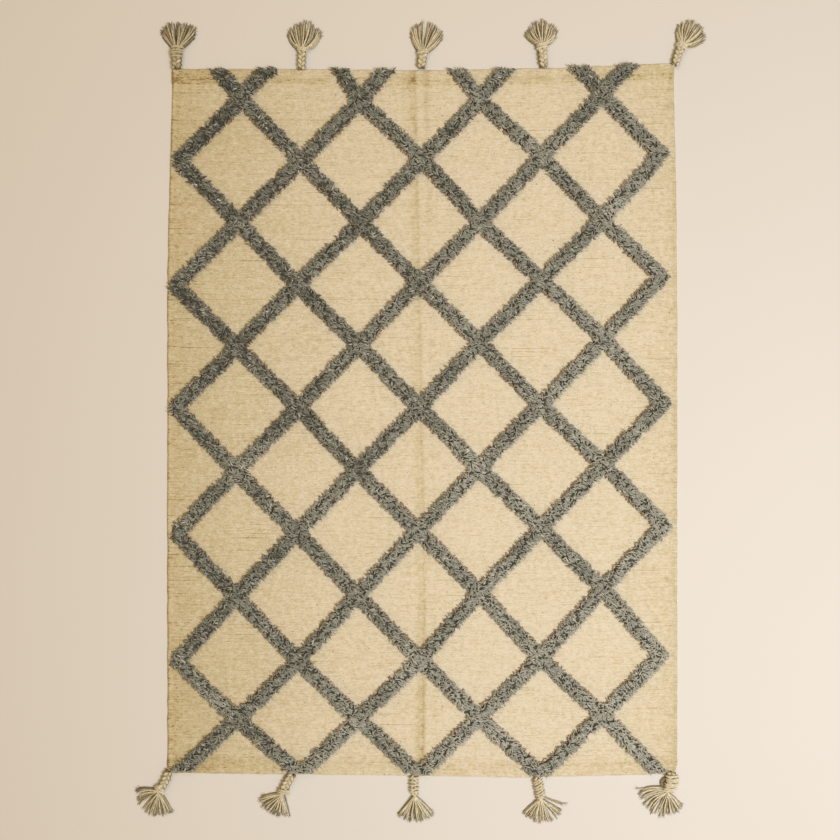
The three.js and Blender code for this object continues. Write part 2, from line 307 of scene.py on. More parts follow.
def face_height(x, y):
    """How high the cloth's upper face is, with its hems, its crease and its sides that curl up a little."""
    left, right, bottom, top = from_edges(x, y)
    sides = np.minimum(left, right)
    inside = np.minimum(sides, np.minimum(top, bottom))
    crease = CREASE_DEPTH * (1 - eased(np.abs(x - crease_line(y)), 0, CREASE_REACH))
    rim = RIM_DROP * (1 - eased(inside, 0, RIM_WIDTH))
    curl = CURL["rise"] * np.exp(-(((sides - CURL["middle"]) / CURL["width"]) ** 2))
    hems = hem_rise(TOP_HEM, top, x) + hem_rise(BOTTOM_HEM, bottom, x)
    return CLOTH + hems + curl - rim - crease


print("height at the top hem and in the middle:", face_height(0.3, 1.04), face_height(0.3, 0.2))

# %% The grid of the cloth
GRID_STEP = 0.0076
RIM_STEPS = (0.0, 0.0008, 0.002, 0.0045, 0.008)
CREASE_BAND = 0.018
HEM_MARGIN = 0.006
HALF_WIDTH, LENGTH = 0.74, 2.05
# How many cells lie between the grid lines that the edges, the hems and the crease set.
RIM_CELLS = [1] * (len(RIM_STEPS) - 1)
SIDE_CELLS, LONG_CELLS = round(HALF_WIDTH / GRID_STEP), round(LENGTH / GRID_STEP)
CREASE_CELLS, SLOPE_CELLS, HEM_CELLS = 12, 7, 4


def lines(stops, cells):
    """Grid lines through the stops, each gap between two stops divided into its number of cells."""
    parts = [stops[0][..., None]]
    for start, end, count in zip(stops, stops[1:], cells):
        share = np.arange(1, count + 1) / count
        parts.append(start[..., None] + (end - start)[..., None] * share)
    return np.concatenate(parts, axis=-1)


def lines_across(y):
    left, right, crease = left_edge(y), right_edge(y), crease_line(y)
    left_rim = [left + step for step in RIM_STEPS]
    right_rim = [right - step for step in reversed(RIM_STEPS)]
    stops = [*left_rim, crease - CREASE_BAND, crease + CREASE_BAND, *right_rim]
    return lines(stops, [*RIM_CELLS, SIDE_CELLS, CREASE_CELLS, SIDE_CELLS, *RIM_CELLS])


def lines_along(x):
    bottom, top = bottom_edge(x), top_edge(x)
    low, high = bottom + hem_depth(BOTTOM_HEM, x), top - hem_depth(TOP_HEM, x)
    low_rim = [bottom + step for step in RIM_STEPS]
    high_rim = [top - step for step in reversed(RIM_STEPS)]
    low_slope = [low - HEM_MARGIN, low + BOTTOM_HEM["slope"] + HEM_MARGIN]
    high_slope = [high - TOP_HEM["slope"] - HEM_MARGIN, high + HEM_MARGIN]
    cells = [*RIM_CELLS, HEM_CELLS, SLOPE_CELLS, LONG_CELLS, SLOPE_CELLS, HEM_CELLS, *RIM_CELLS]
    return lines([*low_rim, *low_slope, *high_slope, *high_rim], cells)


row_places = lines_along(np.zeros(1))[0]
grid_x = lines_across(row_places)
ROWS, COLUMNS = grid_x.shape
row_numbers = np.arange(ROWS)[:, None]
grid_y = lines_along(grid_x)[row_numbers, np.arange(COLUMNS), row_numbers]
print("cloth grid:", ROWS, "rows,", COLUMNS, "columns")

# %% [markdown]
# ## The finish of the cloth
# Seen from above, the wool is pale cream where the light is full. Where less light falls, to the left, along
# the edges, over the hems and in the folds, it is painted more golden as shade. It is also more golden in
# faint bands across, where one dye lot of weft gave way to the next. A painted image could hold this, but it
# would fix one size of detail. Layers of noise give it at every size: broad bands, long weft streaks, a hand's
# mottling and a fine grain, with a few dark burrs that were spun in with the wool. Four wefts of a browner
# yarn come in from the left edge and fade out.

# %% Wool of the cloth
WARP_PITCH, WEFT_PITCH = 0.0045, 0.0018
RIB_WOBBLE = {"scale": 60.0, "across": 5.0, "along": 7.0}
# Gold and brown stand both for golden wool and for painted shade. Most of the share of gold on the grid's
# points is painted shade, and its darkest lines reach brown.
PALE, CREAM, GOLD = (0.900, 0.835, 0.690), (0.850, 0.775, 0.610), (0.590, 0.495, 0.262)
BROWN, BURR = (0.330, 0.215, 0.095), (0.290, 0.190, 0.090)
CREAM_PLACE, GOLD_PLACE = 0.25, 0.80
# The layers of noise, and how much each moves the share of gold up and down.
LAYERS_OF_WOOL = {
    "bands": {"scale": 1.0, "stretch": (0.7, 8.0, 1.0), "detail": 3.0},
    "streaks": {"scale": 1.0, "stretch": (14.0, 190.0, 1.0), "detail": 3.0},
    "dashes": {"scale": 1.0, "stretch": (75.0, 230.0, 1.0), "detail": 2.0},
    "mottle": {"scale": 62.0, "detail": 3.0},
    "grain": {"scale": 230.0, "detail": 1.0},
}
UNEVEN = {"bands": 0.35, "streaks": 0.90, "dashes": 1.50, "mottle": 1.05, "grain": 1.00}
# How much the ribs and three of the layers raise the surface, as shares of the relief.
RELIEF = 0.0015
RIB_SHARE = 0.35
LAYER_SHARES = {"mottle": 1.8, "dashes": 0.9, "streaks": 1.2}
# Each is a pattern of noise, the values between which its peaks rise, and how strong they are.
LOOSE_WEFTS = {"scale": 1.0, "stretch": (5.0, 300.0, 1.0), "detail": 0.0}, (0.72, 0.80), 0.6
BURRS = {"scale": 150.0, "detail": 1.0}, (0.765, 0.795), 1.0
# Wefts of a browner yarn: their places along, how strong they are and how far across they reach.
ODD_WEFTS = ((0.902, 0.42, 0.10), (0.649, 0.42, -0.15), (0.544, 0.18, 0.10), (0.365, 0.36, 0.00))
ODD_HALF, ODD_FADE = 0.0026, 0.25
ODD_WAVER = {"scale": 7.0, "size": 0.010}


def ribs(tree):
    """Fine ribs of the warp with the weft's rows across them, shifted by half a rib from row to row."""
    x, y, _ = own_place(tree)
    wobble = noise(tree, RIB_WOBBLE["scale"])
    rib_wobble = maths(tree, "MULTIPLY", wobble, RIB_WOBBLE["across"])
    row_wobble = maths(tree, "MULTIPLY", wobble, RIB_WOBBLE["along"])
    across = maths(tree, "MULTIPLY_ADD", x, 2 * math.pi / WARP_PITCH, rib_wobble)
    along = maths(tree, "MULTIPLY_ADD", y, math.pi / WEFT_PITCH, row_wobble)
    return maths(tree, "MULTIPLY", maths(tree, "SINE", across), maths(tree, "SINE", along))


def odd_wefts(tree):
    """The browner wefts, which start at the left edge, waver a little and fade out on their way."""
    x, y, _ = own_place(tree)
    along = maths(tree, "MULTIPLY_ADD", noise(tree, ODD_WAVER["scale"]), -ODD_WAVER["size"], y)
    brown = 0.0
    for height, strength, reach in ODD_WEFTS:
        off = maths(tree, "SUBTRACT", along, height - ODD_WAVER["size"] / 2)
        off = maths(tree, "MULTIPLY", off, 1 / ODD_HALF)
        line = maths(tree, "SUBTRACT", 1.0, maths(tree, "MULTIPLY", off, off))
        left = maths(tree, "MULTIPLY", maths(tree, "SUBTRACT", reach + ODD_FADE, x), 1 / ODD_FADE)
        line = maths(tree, "MULTIPLY", maths(tree, "MAXIMUM", line, 0.0), maths(tree, "MINIMUM", left, 1.0))
        brown = maths(tree, "MULTIPLY_ADD", maths(tree, "MAXIMUM", line, 0.0), strength, brown)
    return brown


def peaks(tree, pattern, limits, strength):
    """0 over most of a pattern of noise, and up to the strength at its peaks."""
    start, end = limits
    return ramp(tree, noise(tree, **pattern), [(start, (0, 0, 0)), (end, (strength,) * 3)])


def ground_wool():
    material, tree, shader = new_finish("ground_wool", roughness=0.95, sheen=0.12)
    layers = {name: noise(tree, **pattern) for name, pattern in LAYERS_OF_WOOL.items()}
    # The share starts from the number on the grid's points, which is mostly painted shade.
    share = maths(tree, "SUBTRACT", attribute(tree, "gold"), sum(UNEVEN.values()) / 2)
    for name, layer in layers.items():
        share = maths(tree, "MULTIPLY_ADD", layer, UNEVEN[name], share)
    share = maths(tree, "ADD", share, peaks(tree, *LOOSE_WEFTS))
    share = maths(tree, "ADD", share, odd_wefts(tree))
    place = maths(tree, "MULTIPLY_ADD", share, GOLD_PLACE - CREAM_PLACE, CREAM_PLACE)
    wool = ramp(tree, place, [(0.0, PALE), (CREAM_PLACE, CREAM), (GOLD_PLACE, GOLD), (1.0, BROWN)])
    feed(tree, shader.inputs["Base Color"], mixed(tree, peaks(tree, *BURRS), wool, BURR))
    relief = maths(tree, "MULTIPLY", ribs(tree), RIB_SHARE)
    for name, share in LAYER_SHARES.items():
        relief = maths(tree, "MULTIPLY_ADD", layers[name], share, relief)
    raise_surface(tree, shader, relief, RELIEF)
    return material


wool_of_cloth = ground_wool()
print("nodes in the finish:", len(wool_of_cloth.node_tree.nodes))

# %% Uneven face of the cloth
SELVEDGE = {"waver": 0.0011, "cell": 0.028, "start": 0.001, "end": 0.014}
SWELL = {"cell": 0.110, "size": 0.0007}
DIMPLE = {"cell": 0.015, "size": 0.00035}


def cloth_points():
    """The upper face with its unevenness. At the rim it only wavers sideways."""
    left, right, bottom, top = from_edges(grid_x, grid_y)
    inside = np.minimum(np.minimum(left, right), np.minimum(bottom, top))
    rim = 1 - eased(inside, SELVEDGE["start"], SELVEDGE["end"])
    waver = rim * SELVEDGE["waver"]
    x = grid_x + waver * wander(grid_x, grid_y, SELVEDGE["cell"], 11)
    y = grid_y + waver * wander(grid_x, grid_y, SELVEDGE["cell"], 12)
    swell = SWELL["size"] * wander(grid_x, grid_y, SWELL["cell"], 13)
    dimple = DIMPLE["size"] * wander(grid_x, grid_y, DIMPLE["cell"], 14)
    z = face_height(grid_x, grid_y) + (1 - rim) * (swell + dimple)
    return np.stack([x, y, z], -1).reshape(-1, 3)


upper = cloth_points()
print("points on the upper face:", len(upper))

# %% [markdown]
# ## Where the cloth is painted golden
# The wool is painted more golden as shade to the left, away from the stronger lamp, along the edges, over the
# hems, in the lower corners and in and beside the crease. It has painted shadow lines along the side edges and
# where each hem's folded edge makes a step. Two golden lines also run near the top hem's edge. An image
# could be painted by hand for this. But each of these places is a distance from an edge or from the crease,
# so a sum of soft bands at those distances gives one number for each point of the grid, and the finish reads
# it.

# %% Golden places
# How golden the wool is painted on the way from the left edge to the right one: painted shade, deepest at
# the left, away from the stronger lamp, and a little deeper again at the right edge.
SHADE_ACROSS = {"place": (0.0, 0.12, 0.33, 0.60, 0.88, 1.0), "share": (0.60, 0.44, 0.16, 0.04, 0.08, 0.22)}
# A soft band has its share of gold, where its middle is and how wide it is.
# Painted shade in the crease and on its left slope, away from the stronger lamp.
CREASE_SHADE_BANDS = ((0.50, 0.0, 0.0045), (0.50, -0.008, 0.014))
CREASE_ALONG = {"height": (0.0, 0.30, 0.6, 1.0), "strength": (1.10, 0.60, 0.42, 0.80)}
CREASE_UNEVEN = {"size": 0.35, "cell": 0.02, "stretch": 0.3}
# Painted shade of a second, fainter fold beside the crease, which only the colour has; it is stronger
# towards the top.
TWIN = {"least": 0.12, "more": 0.22, "start": 0.6, "end": 0.9, "middle": 0.034, "width": 0.008}
# Painted shadow lines along the side edges.
SELVEDGE_SHADOW = {"left": (0.30, 0.0, 0.0045), "right": (0.35, 0.0, 0.003)}
# The share of gold painted as shade at a side edge, and how far in it fades.
SIDE_SHADE = {"left": (0.15, 0.06), "right": (0.20, 0.03)}
# Painted shade over each hem, and a painted shadow line where the hem's folded edge makes a step.
TOP_HEM_SHADE = {"share": 0.24, "start": 0.025, "end": 0.065, "fold": (0.14, 0.038, 0.008)}
BOTTOM_HEM_SHADE = {"share": 0.18, "start": 0.02, "end": 0.07, "fold": (0.10, 0.036, 0.007)}
# Painted shade in the lower corners: how far up from the bottom it fades, and from where to where outward it
# grows.
LOWER_CORNERS = {"share": 0.09, "up": (0.05, 0.40), "out": (0.35, 0.70)}
# How unevenly the painted shade lies over the hems.
HEM_PATCHES = {"size": 0.4, "cell": 0.025}
# Two golden lines near the top hem's edge, where they are broken, and how clear they are on the way across.
HEM_LINES = {"depths": (0.030, 0.043), "strengths": (0.52, 0.36), "width": 0.0034, "waver": 0.0024, "cell": 0.045}
HEM_LINE_BREAKS = {"whole": 0.75, "size": 0.6, "cell": 0.023}
HEM_LINES_ACROSS = {"x": (-0.75, -0.45, 0.75), "strength": (0.55, 0.95, 1.30)}
UNDERSIDE_GOLD = 0.6


def soft_band(place, share, middle, width):
    """The share of gold in the middle of a band, and less to both sides."""
    return share * np.exp(-(((place - middle) / width) ** 2))


def hem_line_gold(from_top):
    """Two wavering golden lines near the top hem's edge, broken here and there."""
    clear = np.interp(grid_x, HEM_LINES_ACROSS["x"], HEM_LINES_ACROSS["strength"])
    gold = 0
    for number, (depth, strength) in enumerate(zip(HEM_LINES["depths"], HEM_LINES["strengths"])):
        middle = depth + HEM_LINES["waver"] * wander(grid_x, number, HEM_LINES["cell"], 16)
        whole = HEM_LINE_BREAKS["size"] * wander(grid_x, number + grid_y, HEM_LINE_BREAKS["cell"], 17)
        whole = np.clip(HEM_LINE_BREAKS["whole"] + whole, 0, 1)
        gold = gold + soft_band(from_top, strength * clear * whole, middle, HEM_LINES["width"])
    return gold


def crease_shade():
    """Painted shade in the crease and on its left, and a fainter fold beside it that only the colour has."""
    beside = grid_x - crease_line(grid_y)
    height = (grid_y - grid_y.min()) / np.ptp(grid_y)
    strength = np.interp(height, CREASE_ALONG["height"], CREASE_ALONG["strength"])
    uneven = wander(CREASE_UNEVEN["stretch"] * grid_x, grid_y, CREASE_UNEVEN["cell"], 18)
    strength = strength * (1 + CREASE_UNEVEN["size"] * uneven)
    twin = TWIN["least"] + TWIN["more"] * eased(height, TWIN["start"], TWIN["end"])
    twin = soft_band(beside, twin, TWIN["middle"], TWIN["width"])
    return strength * sum(soft_band(beside, *band) for band in CREASE_SHADE_BANDS) + twin


# The painted shade over a hem and its painted shadow line.
def hem_shade(hem, inside):
    return hem["share"] * (1 - eased(inside, hem["start"], hem["end"])) + soft_band(inside, *hem["fold"])


# The painted shade towards a side edge and its painted shadow line.
def side_shade(side, inside):
    share, reach = SIDE_SHADE[side]
    return share * np.exp(-inside / reach) + soft_band(inside, *SELVEDGE_SHADOW[side])


def gold_share():
    """How golden each point of the grid is painted: mostly painted shade, and the two lines near the top hem.
    """
    left, right, bottom, top = from_edges(grid_x, grid_y)
    overall = np.interp(left / (left + right), SHADE_ACROSS["place"], SHADE_ACROSS["share"])
    hem_patches = 1 + HEM_PATCHES["size"] * wander(grid_x, grid_y, HEM_PATCHES["cell"], 15)
    hems = hem_patches * (hem_shade(TOP_HEM_SHADE, top) + hem_shade(BOTTOM_HEM_SHADE, bottom))
    up, out = 1 - eased(bottom, *LOWER_CORNERS["up"]), eased(np.abs(grid_x), *LOWER_CORNERS["out"])
    sides = side_shade("left", left) + side_shade("right", right)
    return overall + crease_shade() + hems + LOWER_CORNERS["share"] * up * out + sides + hem_line_gold(top)


golden = gold_share()
print("share of gold from", golden.min().round(2), "to", golden.max().round(2))

# %% Cloth piece
def grid_faces(rows, columns):
    corner = (np.arange(rows - 1)[:, None] * columns + np.arange(columns - 1)).ravel()
    return np.stack([corner, corner + 1, corner + columns + 1, corner + columns], 1)


index = np.arange(ROWS * COLUMNS).reshape(ROWS, COLUMNS)
rim = np.concatenate([index[0, :-1], index[:-1, -1], index[-1, :0:-1], index[:0:-1, 0]])
lower = upper[rim] * (1, 1, 0)
under = len(upper) + np.arange(len(rim))
sides = np.stack([rim, under, np.roll(under, -1), np.roll(rim, -1)], 1)
cloth_faces = [*grid_faces(ROWS, COLUMNS).tolist(), *sides.tolist(), under[::-1].tolist()]
golden = np.concatenate([golden.ravel(), np.full(len(rim), UNDERSIDE_GOLD)])
cloth = add_piece(
    "cloth", np.concatenate([upper, lower]), cloth_faces, wool_of_cloth, {"gold": golden}
)
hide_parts("ground")

# %% [markdown]
# ## The trellis of pile
# Eight bands of pile leave the top edge in pairs, cross at every row, turn back at the side edges and reach
# the bottom edge. To fill them with tufts, each spot on the rug has to know how deep it lies inside a band
# and which way the nearest rim is. Drawing the bands as curves would answer neither, so the bands are lines
# from crossing to crossing, and the distance to the nearest line gives both.

# %% Crossings and bands
TOP_ENDS = ((-0.605, -0.445), (-0.240, -0.096), (0.108, 0.259), (0.468, 0.630))
# Each band bends once above its first crossing, this far aside and this far up.
ELBOW = {"aside": 0.020, "above": 0.028}
# How far the middle of a row of crossings sags below the line through its first and last one.
TOP_SAG, ROW_SAG = 0.0135, 0.0045
# Each row of crossings: their places across, and the places along of the first and the last one.
CROSSINGS = (
    ((-0.535, -0.178, 0.179, 0.545), 0.964, 0.976),
    ((-0.720, -0.355, 0.007, 0.366, 0.720), 0.778, 0.799),
    ((-0.542, -0.177, 0.179, 0.544), 0.595, 0.602),
    ((-0.728, -0.366, -0.003, 0.364, 0.723), 0.405, 0.433),
    ((-0.547, -0.184, 0.178, 0.550), 0.223, 0.248),
    ((-0.729, -0.365, -0.002, 0.361, 0.727), 0.040, 0.055),
    ((-0.548, -0.186, 0.177, 0.547), -0.150, -0.128),
    ((-0.728, -0.368, -0.005, 0.363, 0.730), -0.336, -0.311),
    ((-0.549, -0.187, 0.178, 0.547), -0.525, -0.500),
    ((-0.726, -0.364, 0.001, 0.361, 0.719), -0.717, -0.701),
    ((-0.546, -0.184, 0.177, 0.546), -0.890, -0.879),
    ((-0.723, -0.357, -0.003, 0.360, 0.714), -1.053, -1.051),
)
BAND_PAST = 0.030


def crossing(row, index):
    across, first, last = CROSSINGS[row]
    share, sag = index / (len(across) - 1), ROW_SAG if row else TOP_SAG
    return np.array([across[index], first + (last - first) * share - 4 * sag * share * (1 - share)])


def band_path(start, pair, to_right):
    """The points that a band passes, and which of them are its turns at the side edges."""
    path, turns = [np.array([start, top_edge(start)])], []
    index = pair
    for row, (across, _, _) in enumerate(CROSSINGS):
        wide = row % 2 == 1
        if row > 0:
            index += int(to_right) if wide else int(to_right) - 1
        meeting = crossing(row, index)
        if row == 0:
            path.append(meeting + (math.copysign(ELBOW["aside"], start - meeting[0]), ELBOW["above"]))
        path.append(meeting)
        if wide and row < len(CROSSINGS) - 1 and index in (0, len(across) - 1):
            to_right = index == 0
            turns.append(len(path) - 1)
    return path, turns


def carried_on(end, before):
    """An end of a path, moved on past the cloth's edge."""
    return end + (end - before) * BAND_PAST / np.linalg.norm(end - before)


bands = [band_path(x, pair, side == 0) for pair, ends in enumerate(TOP_ENDS) for side, x in enumerate(ends)]
starts, ends, turn_corners = [], [], []
for path, turns in bands:
    path[0], path[-1] = carried_on(path[0], path[1]), carried_on(path[-1], path[-2])
    starts += path[:-1]
    ends += path[1:]
    turn_corners += [(path[k - 1], path[k], path[k + 1]) for k in turns]
starts, ends = np.array(starts), np.array(ends)
print("band lines:", len(starts), "turns:", len(turn_corners))

# %% [markdown]
# ## Where tufts grow
# A knotter sets tufts in even rows, and the eye still sees none of them once the pile is brushed. Tufts could
# be scattered by a particle system, which can't be told to stop at a ragged rim. So the spots are a close
# grid with each spot pushed about a little, and only those inside a band are kept. At a turn the two bands
# meet in a corner, blunt on the left and pointed on the right. On the rims that face the rug's middle the
# outermost tufts are here and there shorter, and their roots, which show there, are painted with warm shade,
# as of light reflected from the golden cloth.

# %% Spots for the tufts
TUFT_PITCH = 0.0055
FIELD = {"across": (-0.775, 0.775), "along": (-1.075, 1.080)}
PUSHED = 0.38
ROOT_HALF = 0.0194
RAGGED = {"cell": 0.011, "size": 0.0018}
STRAYING = {"cell": 0.055, "size": 0.0016}
TURN_TIPS = {"left": 0.015, "right": 0.027}
# How near to a turn its corner holds, and how far outward nothing grows.
TURN_NEAR, TURN_CLEAR = 0.050, 0.100
# How far inside the cloth's edges the roots stay.
ROOT_INSET = {"side": 0.001, "bottom": 0.005, "top": 0.000}
# In patches far out in the band, where the rim faces the rug's middle, a tuft is short and its root is
# painted with warm shade.
SHORT_WARM_SHADED = {"out": 0.80, "facing": 0.25, "cell": 0.014, "patches": -0.15}
# Keeps a division from failing where a length is zero.
TINY = 1e-6
rng = np.random.default_rng(2026)


def grid_spots():
    across = np.arange(*FIELD["across"], TUFT_PITCH)
    along = np.arange(*FIELD["along"], TUFT_PITCH * math.sqrt(3) / 2)
    x, y = np.meshgrid(across, along)
    x[1::2] += TUFT_PITCH / 2
    spots = np.stack([x, y], -1).reshape(-1, 2)
    return spots + rng.uniform(-PUSHED, PUSHED, spots.shape) * TUFT_PITCH


def nearest_band(spots):
    """The way from the nearest band's middle line to each spot, and how long it is."""
    best = np.full(len(spots), np.inf)
    away = np.zeros_like(spots)
    for start, end in zip(starts, ends):
        way = end - start
        share = np.clip((spots - start) @ way / (way @ way), 0, 1)
        off = spots - start - share[:, None] * way
        distance = np.linalg.norm(off, axis=1)
        nearer = distance < best
        best = np.where(nearer, distance, best)
        away[nearer] = off[nearer]
    return away, best


def corner_depth(spots):
    """How far each spot lies from both bands' middle lines at a turn, so that corners come out sharp."""
    depth = np.full(len(spots), np.inf)
    for before, turn, after in turn_corners:
        near = np.linalg.norm(spots - turn, axis=1) < TURN_NEAR
        offs = []
        for other in (before, after):
            way = (other - turn) / np.linalg.norm(other - turn)
            offs.append(np.abs((spots - turn) @ np.array([-way[1], way[0]])))
        depth = np.where(near, np.minimum(depth, np.maximum(*offs)), depth)
    return depth


def within_turns(spots):
    """False past the blunt or pointed end of a turn."""
    kept = np.ones(len(spots), bool)
    for _, turn, _ in turn_corners:
        side = "left" if turn[0] < 0 else "right"
        outward = (spots[:, 0] - turn[0]) * (-1 if side == "left" else 1)
        near = np.abs(spots[:, 1] - turn[1]) < TURN_NEAR
        kept &= ~(near & (outward > TURN_TIPS[side]) & (outward < TURN_CLEAR))
    return kept


def within_cloth(spots):
    left, right, bottom, top = from_edges(*spots.T)
    inside = (np.minimum(left, right) > ROOT_INSET["side"]) & (bottom > ROOT_INSET["bottom"])
    return inside & (top > ROOT_INSET["top"])


def strayed(spots):
    """The spots as the bands see them, which stray a little from their lines as they go."""
    way = [wander(*spots.T, STRAYING["cell"], seed) for seed in (22, 23)]
    return spots + STRAYING["size"] * np.stack(way, 1)


spots = grid_spots()
away, distance = nearest_band(strayed(spots))
depth = np.minimum(distance, corner_depth(strayed(spots)))
half = ROOT_HALF + RAGGED["size"] * wander(*spots.T, RAGGED["cell"], 21)
kept = (depth < half) & within_turns(spots) & within_cloth(spots)
spots, away, distance, half = spots[kept], away[kept], distance[kept], half[kept]
# outward is the way from the band's middle line. facing is 1 on a rim that faces the rug's middle.
outward = away / np.maximum(distance, TINY)[:, None]
facing = -(outward * spots).sum(1) / np.linalg.norm(spots, axis=1)
patchy = wander(*spots.T, SHORT_WARM_SHADED["cell"], 25) > SHORT_WARM_SHADED["patches"]
bared = patchy & (facing > SHORT_WARM_SHADED["facing"])
# The short rim tufts whose roots are painted with warm shade.
short_warm_shaded = bared & (distance > SHORT_WARM_SHADED["out"] * half)
print("tufts:", len(spots), "matted:", short_warm_shaded.sum())

# %% [markdown]
# ## The tufts
# A tuft is a cut yarn end, a few millimetres thick and about two centimetres long, and it flops over. Hair
# curves would be the usual way, but they aren't a mesh and nothing of them would be left in an exported
# model. So each tuft is a small closed tube of four sides that rises from its root and bends over to its tip.
# Those near a rim fall outward, and elsewhere neighbours fall together. The dark clefts between such locks
# give pile its look.

# %% How the tufts fall
PILE = 0.0122
# How much a tuft's height differs: in streaks, by itself, at a rim and on the short tufts with painted warm
# shade.
HEIGHTS = {"streaks": 0.24, "own": 0.10, "rim": 0.30, "short_warm_shaded": 0.5}
FALL = {"least": 0.0100, "most": 0.0200}
# What pulls a tuft aside: the rim, the lock that it belongs to, and chance.
PULL = {"rim": 0.75, "lock": 1.0, "stray": 0.42}
# Brushing turns and shortens the pulls of the lock and of chance: what one across and one along become.
NAP = {"across": (1.0, -0.42), "along": (0.08, 0.40)}
# How much less a lock pulls at the rim, and how far a tip that is past its limit is held back.
HELD_AT_RIM, HELD_BACK = 0.85, 0.85
FURTHEST_OUT = 1.2
LOCK_CELL = (0.0160, 0.0105)
STREAK = {"angle": math.radians(-15), "long": 0.0125, "wide": 0.0064}
# How far from the band's line the tips reach. The reach is more on the rims that face the rug's middle, less
# where these are bared, and uneven on the short tufts with painted warm shade. TIP_INSET keeps the tips
# inside the cloth.
TIPS = {"half": 0.0226, "ragged": 0.0034, "facing": 0.0014, "bared": 0.0020, "fringe": 0.0045}
TIP_INSET = {"side": 0.001, "bottom": 0.007, "top": 0.000, "ragged": 0.0035}


def streaks_at(places):
    """Uneven numbers in long narrow swells that lie the way the pile is brushed."""
    ahead = np.array([math.cos(STREAK["angle"]), math.sin(STREAK["angle"])])
    along, across = places @ ahead, places @ np.array([-ahead[1], ahead[0]])
    return wander(along / STREAK["long"], across / STREAK["wide"], 1.0, 34)


def tip_limits():
    """How far from the band's line each tip may reach."""
    limit = TIPS["half"] + TIPS["facing"] * facing - TIPS["bared"] * bared
    limit += TIPS["ragged"] * rng.normal(0, 1, len(spots)).clip(-2, 2)
    limit[short_warm_shaded] = TIPS["half"] + TIPS["fringe"] * rng.uniform(0, 1, short_warm_shaded.sum())
    return limit


def within_edges(fall):
    """The falls, cut short so that no tip hangs over an edge of the cloth."""
    x, y = spots.T
    ragged = TIP_INSET["ragged"] * rng.normal(0, 1, len(spots))
    least, most = bottom_edge(x) + TIP_INSET["bottom"] - ragged, top_edge(x) - TIP_INSET["top"] + ragged
    along = np.clip(fall[:, 1], least - y, most - y)
    across = np.clip(fall[:, 0], left_edge(y) + TIP_INSET["side"] - x, right_edge(y) - TIP_INSET["side"] - x)
    return np.column_stack([across, along])


def tuft_falls(out):
    """How far sideways each tip lies from its root. Tips past the band's edge are held back."""
    x, y = spots.T
    lock = np.stack([wander(x / LOCK_CELL[0], y / LOCK_CELL[1], 1.0, seed) for seed in (31, 32)], 1)
    stray = rng.normal(0, 1, spots.shape)
    near = (out**2)[:, None]
    pulled = (1 - HELD_AT_RIM * near) * PULL["lock"] * lock + PULL["stray"] * stray
    fall = PULL["rim"] * near * outward + pulled @ np.array([NAP["across"], NAP["along"]])
    fall /= np.maximum(np.linalg.norm(fall, axis=1, keepdims=True), TINY)
    fall *= rng.uniform(FALL["least"], FALL["most"], (len(spots), 1))
    past = np.maximum(distance + (fall * outward).sum(1) - tip_limits(), 0)
    return within_edges(fall - HELD_BACK * past[:, None] * outward)


def tuft_heights(out):
    uneven = HEIGHTS["streaks"] * streaks_at(spots) + HEIGHTS["own"] * rng.uniform(-1, 1, len(spots))
    return PILE * (1 + uneven) * (1 - HEIGHTS["rim"] * out**4) * np.where(short_warm_shaded, HEIGHTS["short_warm_shaded"], 1.0)


out = np.clip(distance / half, 0, FURTHEST_OUT)
leans = tuft_falls(out)
heights = tuft_heights(out)
print("tuft height from", heights.min().round(4), "to", heights.max().round(4))

# %% Meshes of the tufts
SIDES = 4
RING_SHARES = (0.0, 0.45, 1.0)
RING_SIZES = (0.95, 1.10, 0.55)
TUFT_POINTS = len(RING_SHARES) * SIDES
# The angle that a tuft bends through, and the power of the share with which it moves aside.
FLOP, REACH = 1.9, 1.6
ROOT_DEPTH = 0.0006
# Keeps a tuft that doesn't lean at all from having no way across.
LEAST_LEAN = 1e-5


def tuft_mesh(spots, leans, heights, radii, spins):
    """Points and faces of many tufts: one ring of points at each share of the way from root to tip."""
    root = np.column_stack([spots, face_height(*spots.T) - ROOT_DEPTH])
    share = np.array(RING_SHARES)
    rise, reach = np.sin(FLOP * share), share**REACH
    slope, spread = FLOP * np.cos(FLOP * share), REACH * share ** (REACH - 1)
    centre = root[:, None] + np.dstack([leans[:, None] * reach[:, None], heights[:, None] * rise])
    ahead = np.dstack([leans[:, None] * spread[:, None], heights[:, None] * slope])
    ahead /= np.linalg.norm(ahead, axis=2, keepdims=True)
    across = np.column_stack([-leans[:, 1], leans[:, 0] + LEAST_LEAN, np.zeros(len(spots))])
    across = (across / np.linalg.norm(across, axis=1, keepdims=True))[:, None] + np.zeros_like(ahead)
    other = np.cross(ahead, across)
    angle = (spins[:, None] + 2 * np.pi * np.arange(SIDES) / SIDES)[:, None, :, None]
    size = (radii[:, None] * np.array(RING_SIZES))[:, :, None, None]
    spokes = np.cos(angle) * across[:, :, None] + np.sin(angle) * other[:, :, None]
    points = (centre[:, :, None] + size * spokes).reshape(-1, 3)
    first = np.arange(len(spots))[:, None] * TUFT_POINTS
    walls = []
    for ring in range(len(RING_SHARES) - 1):
        for side in range(SIDES):
            a, b = ring * SIDES + side, ring * SIDES + (side + 1) % SIDES
            walls.append(first + np.array([a, b, b + SIDES, a + SIDES]))
    tip = TUFT_POINTS - SIDES
    caps = [first + np.arange(SIDES)[::-1], first + tip + np.arange(SIDES)]
    return points, np.concatenate(walls).tolist() + np.concatenate(caps).tolist()


def spread_to_points(values):
    return np.repeat(values, TUFT_POINTS)


print("points in a tuft:", TUFT_POINTS)

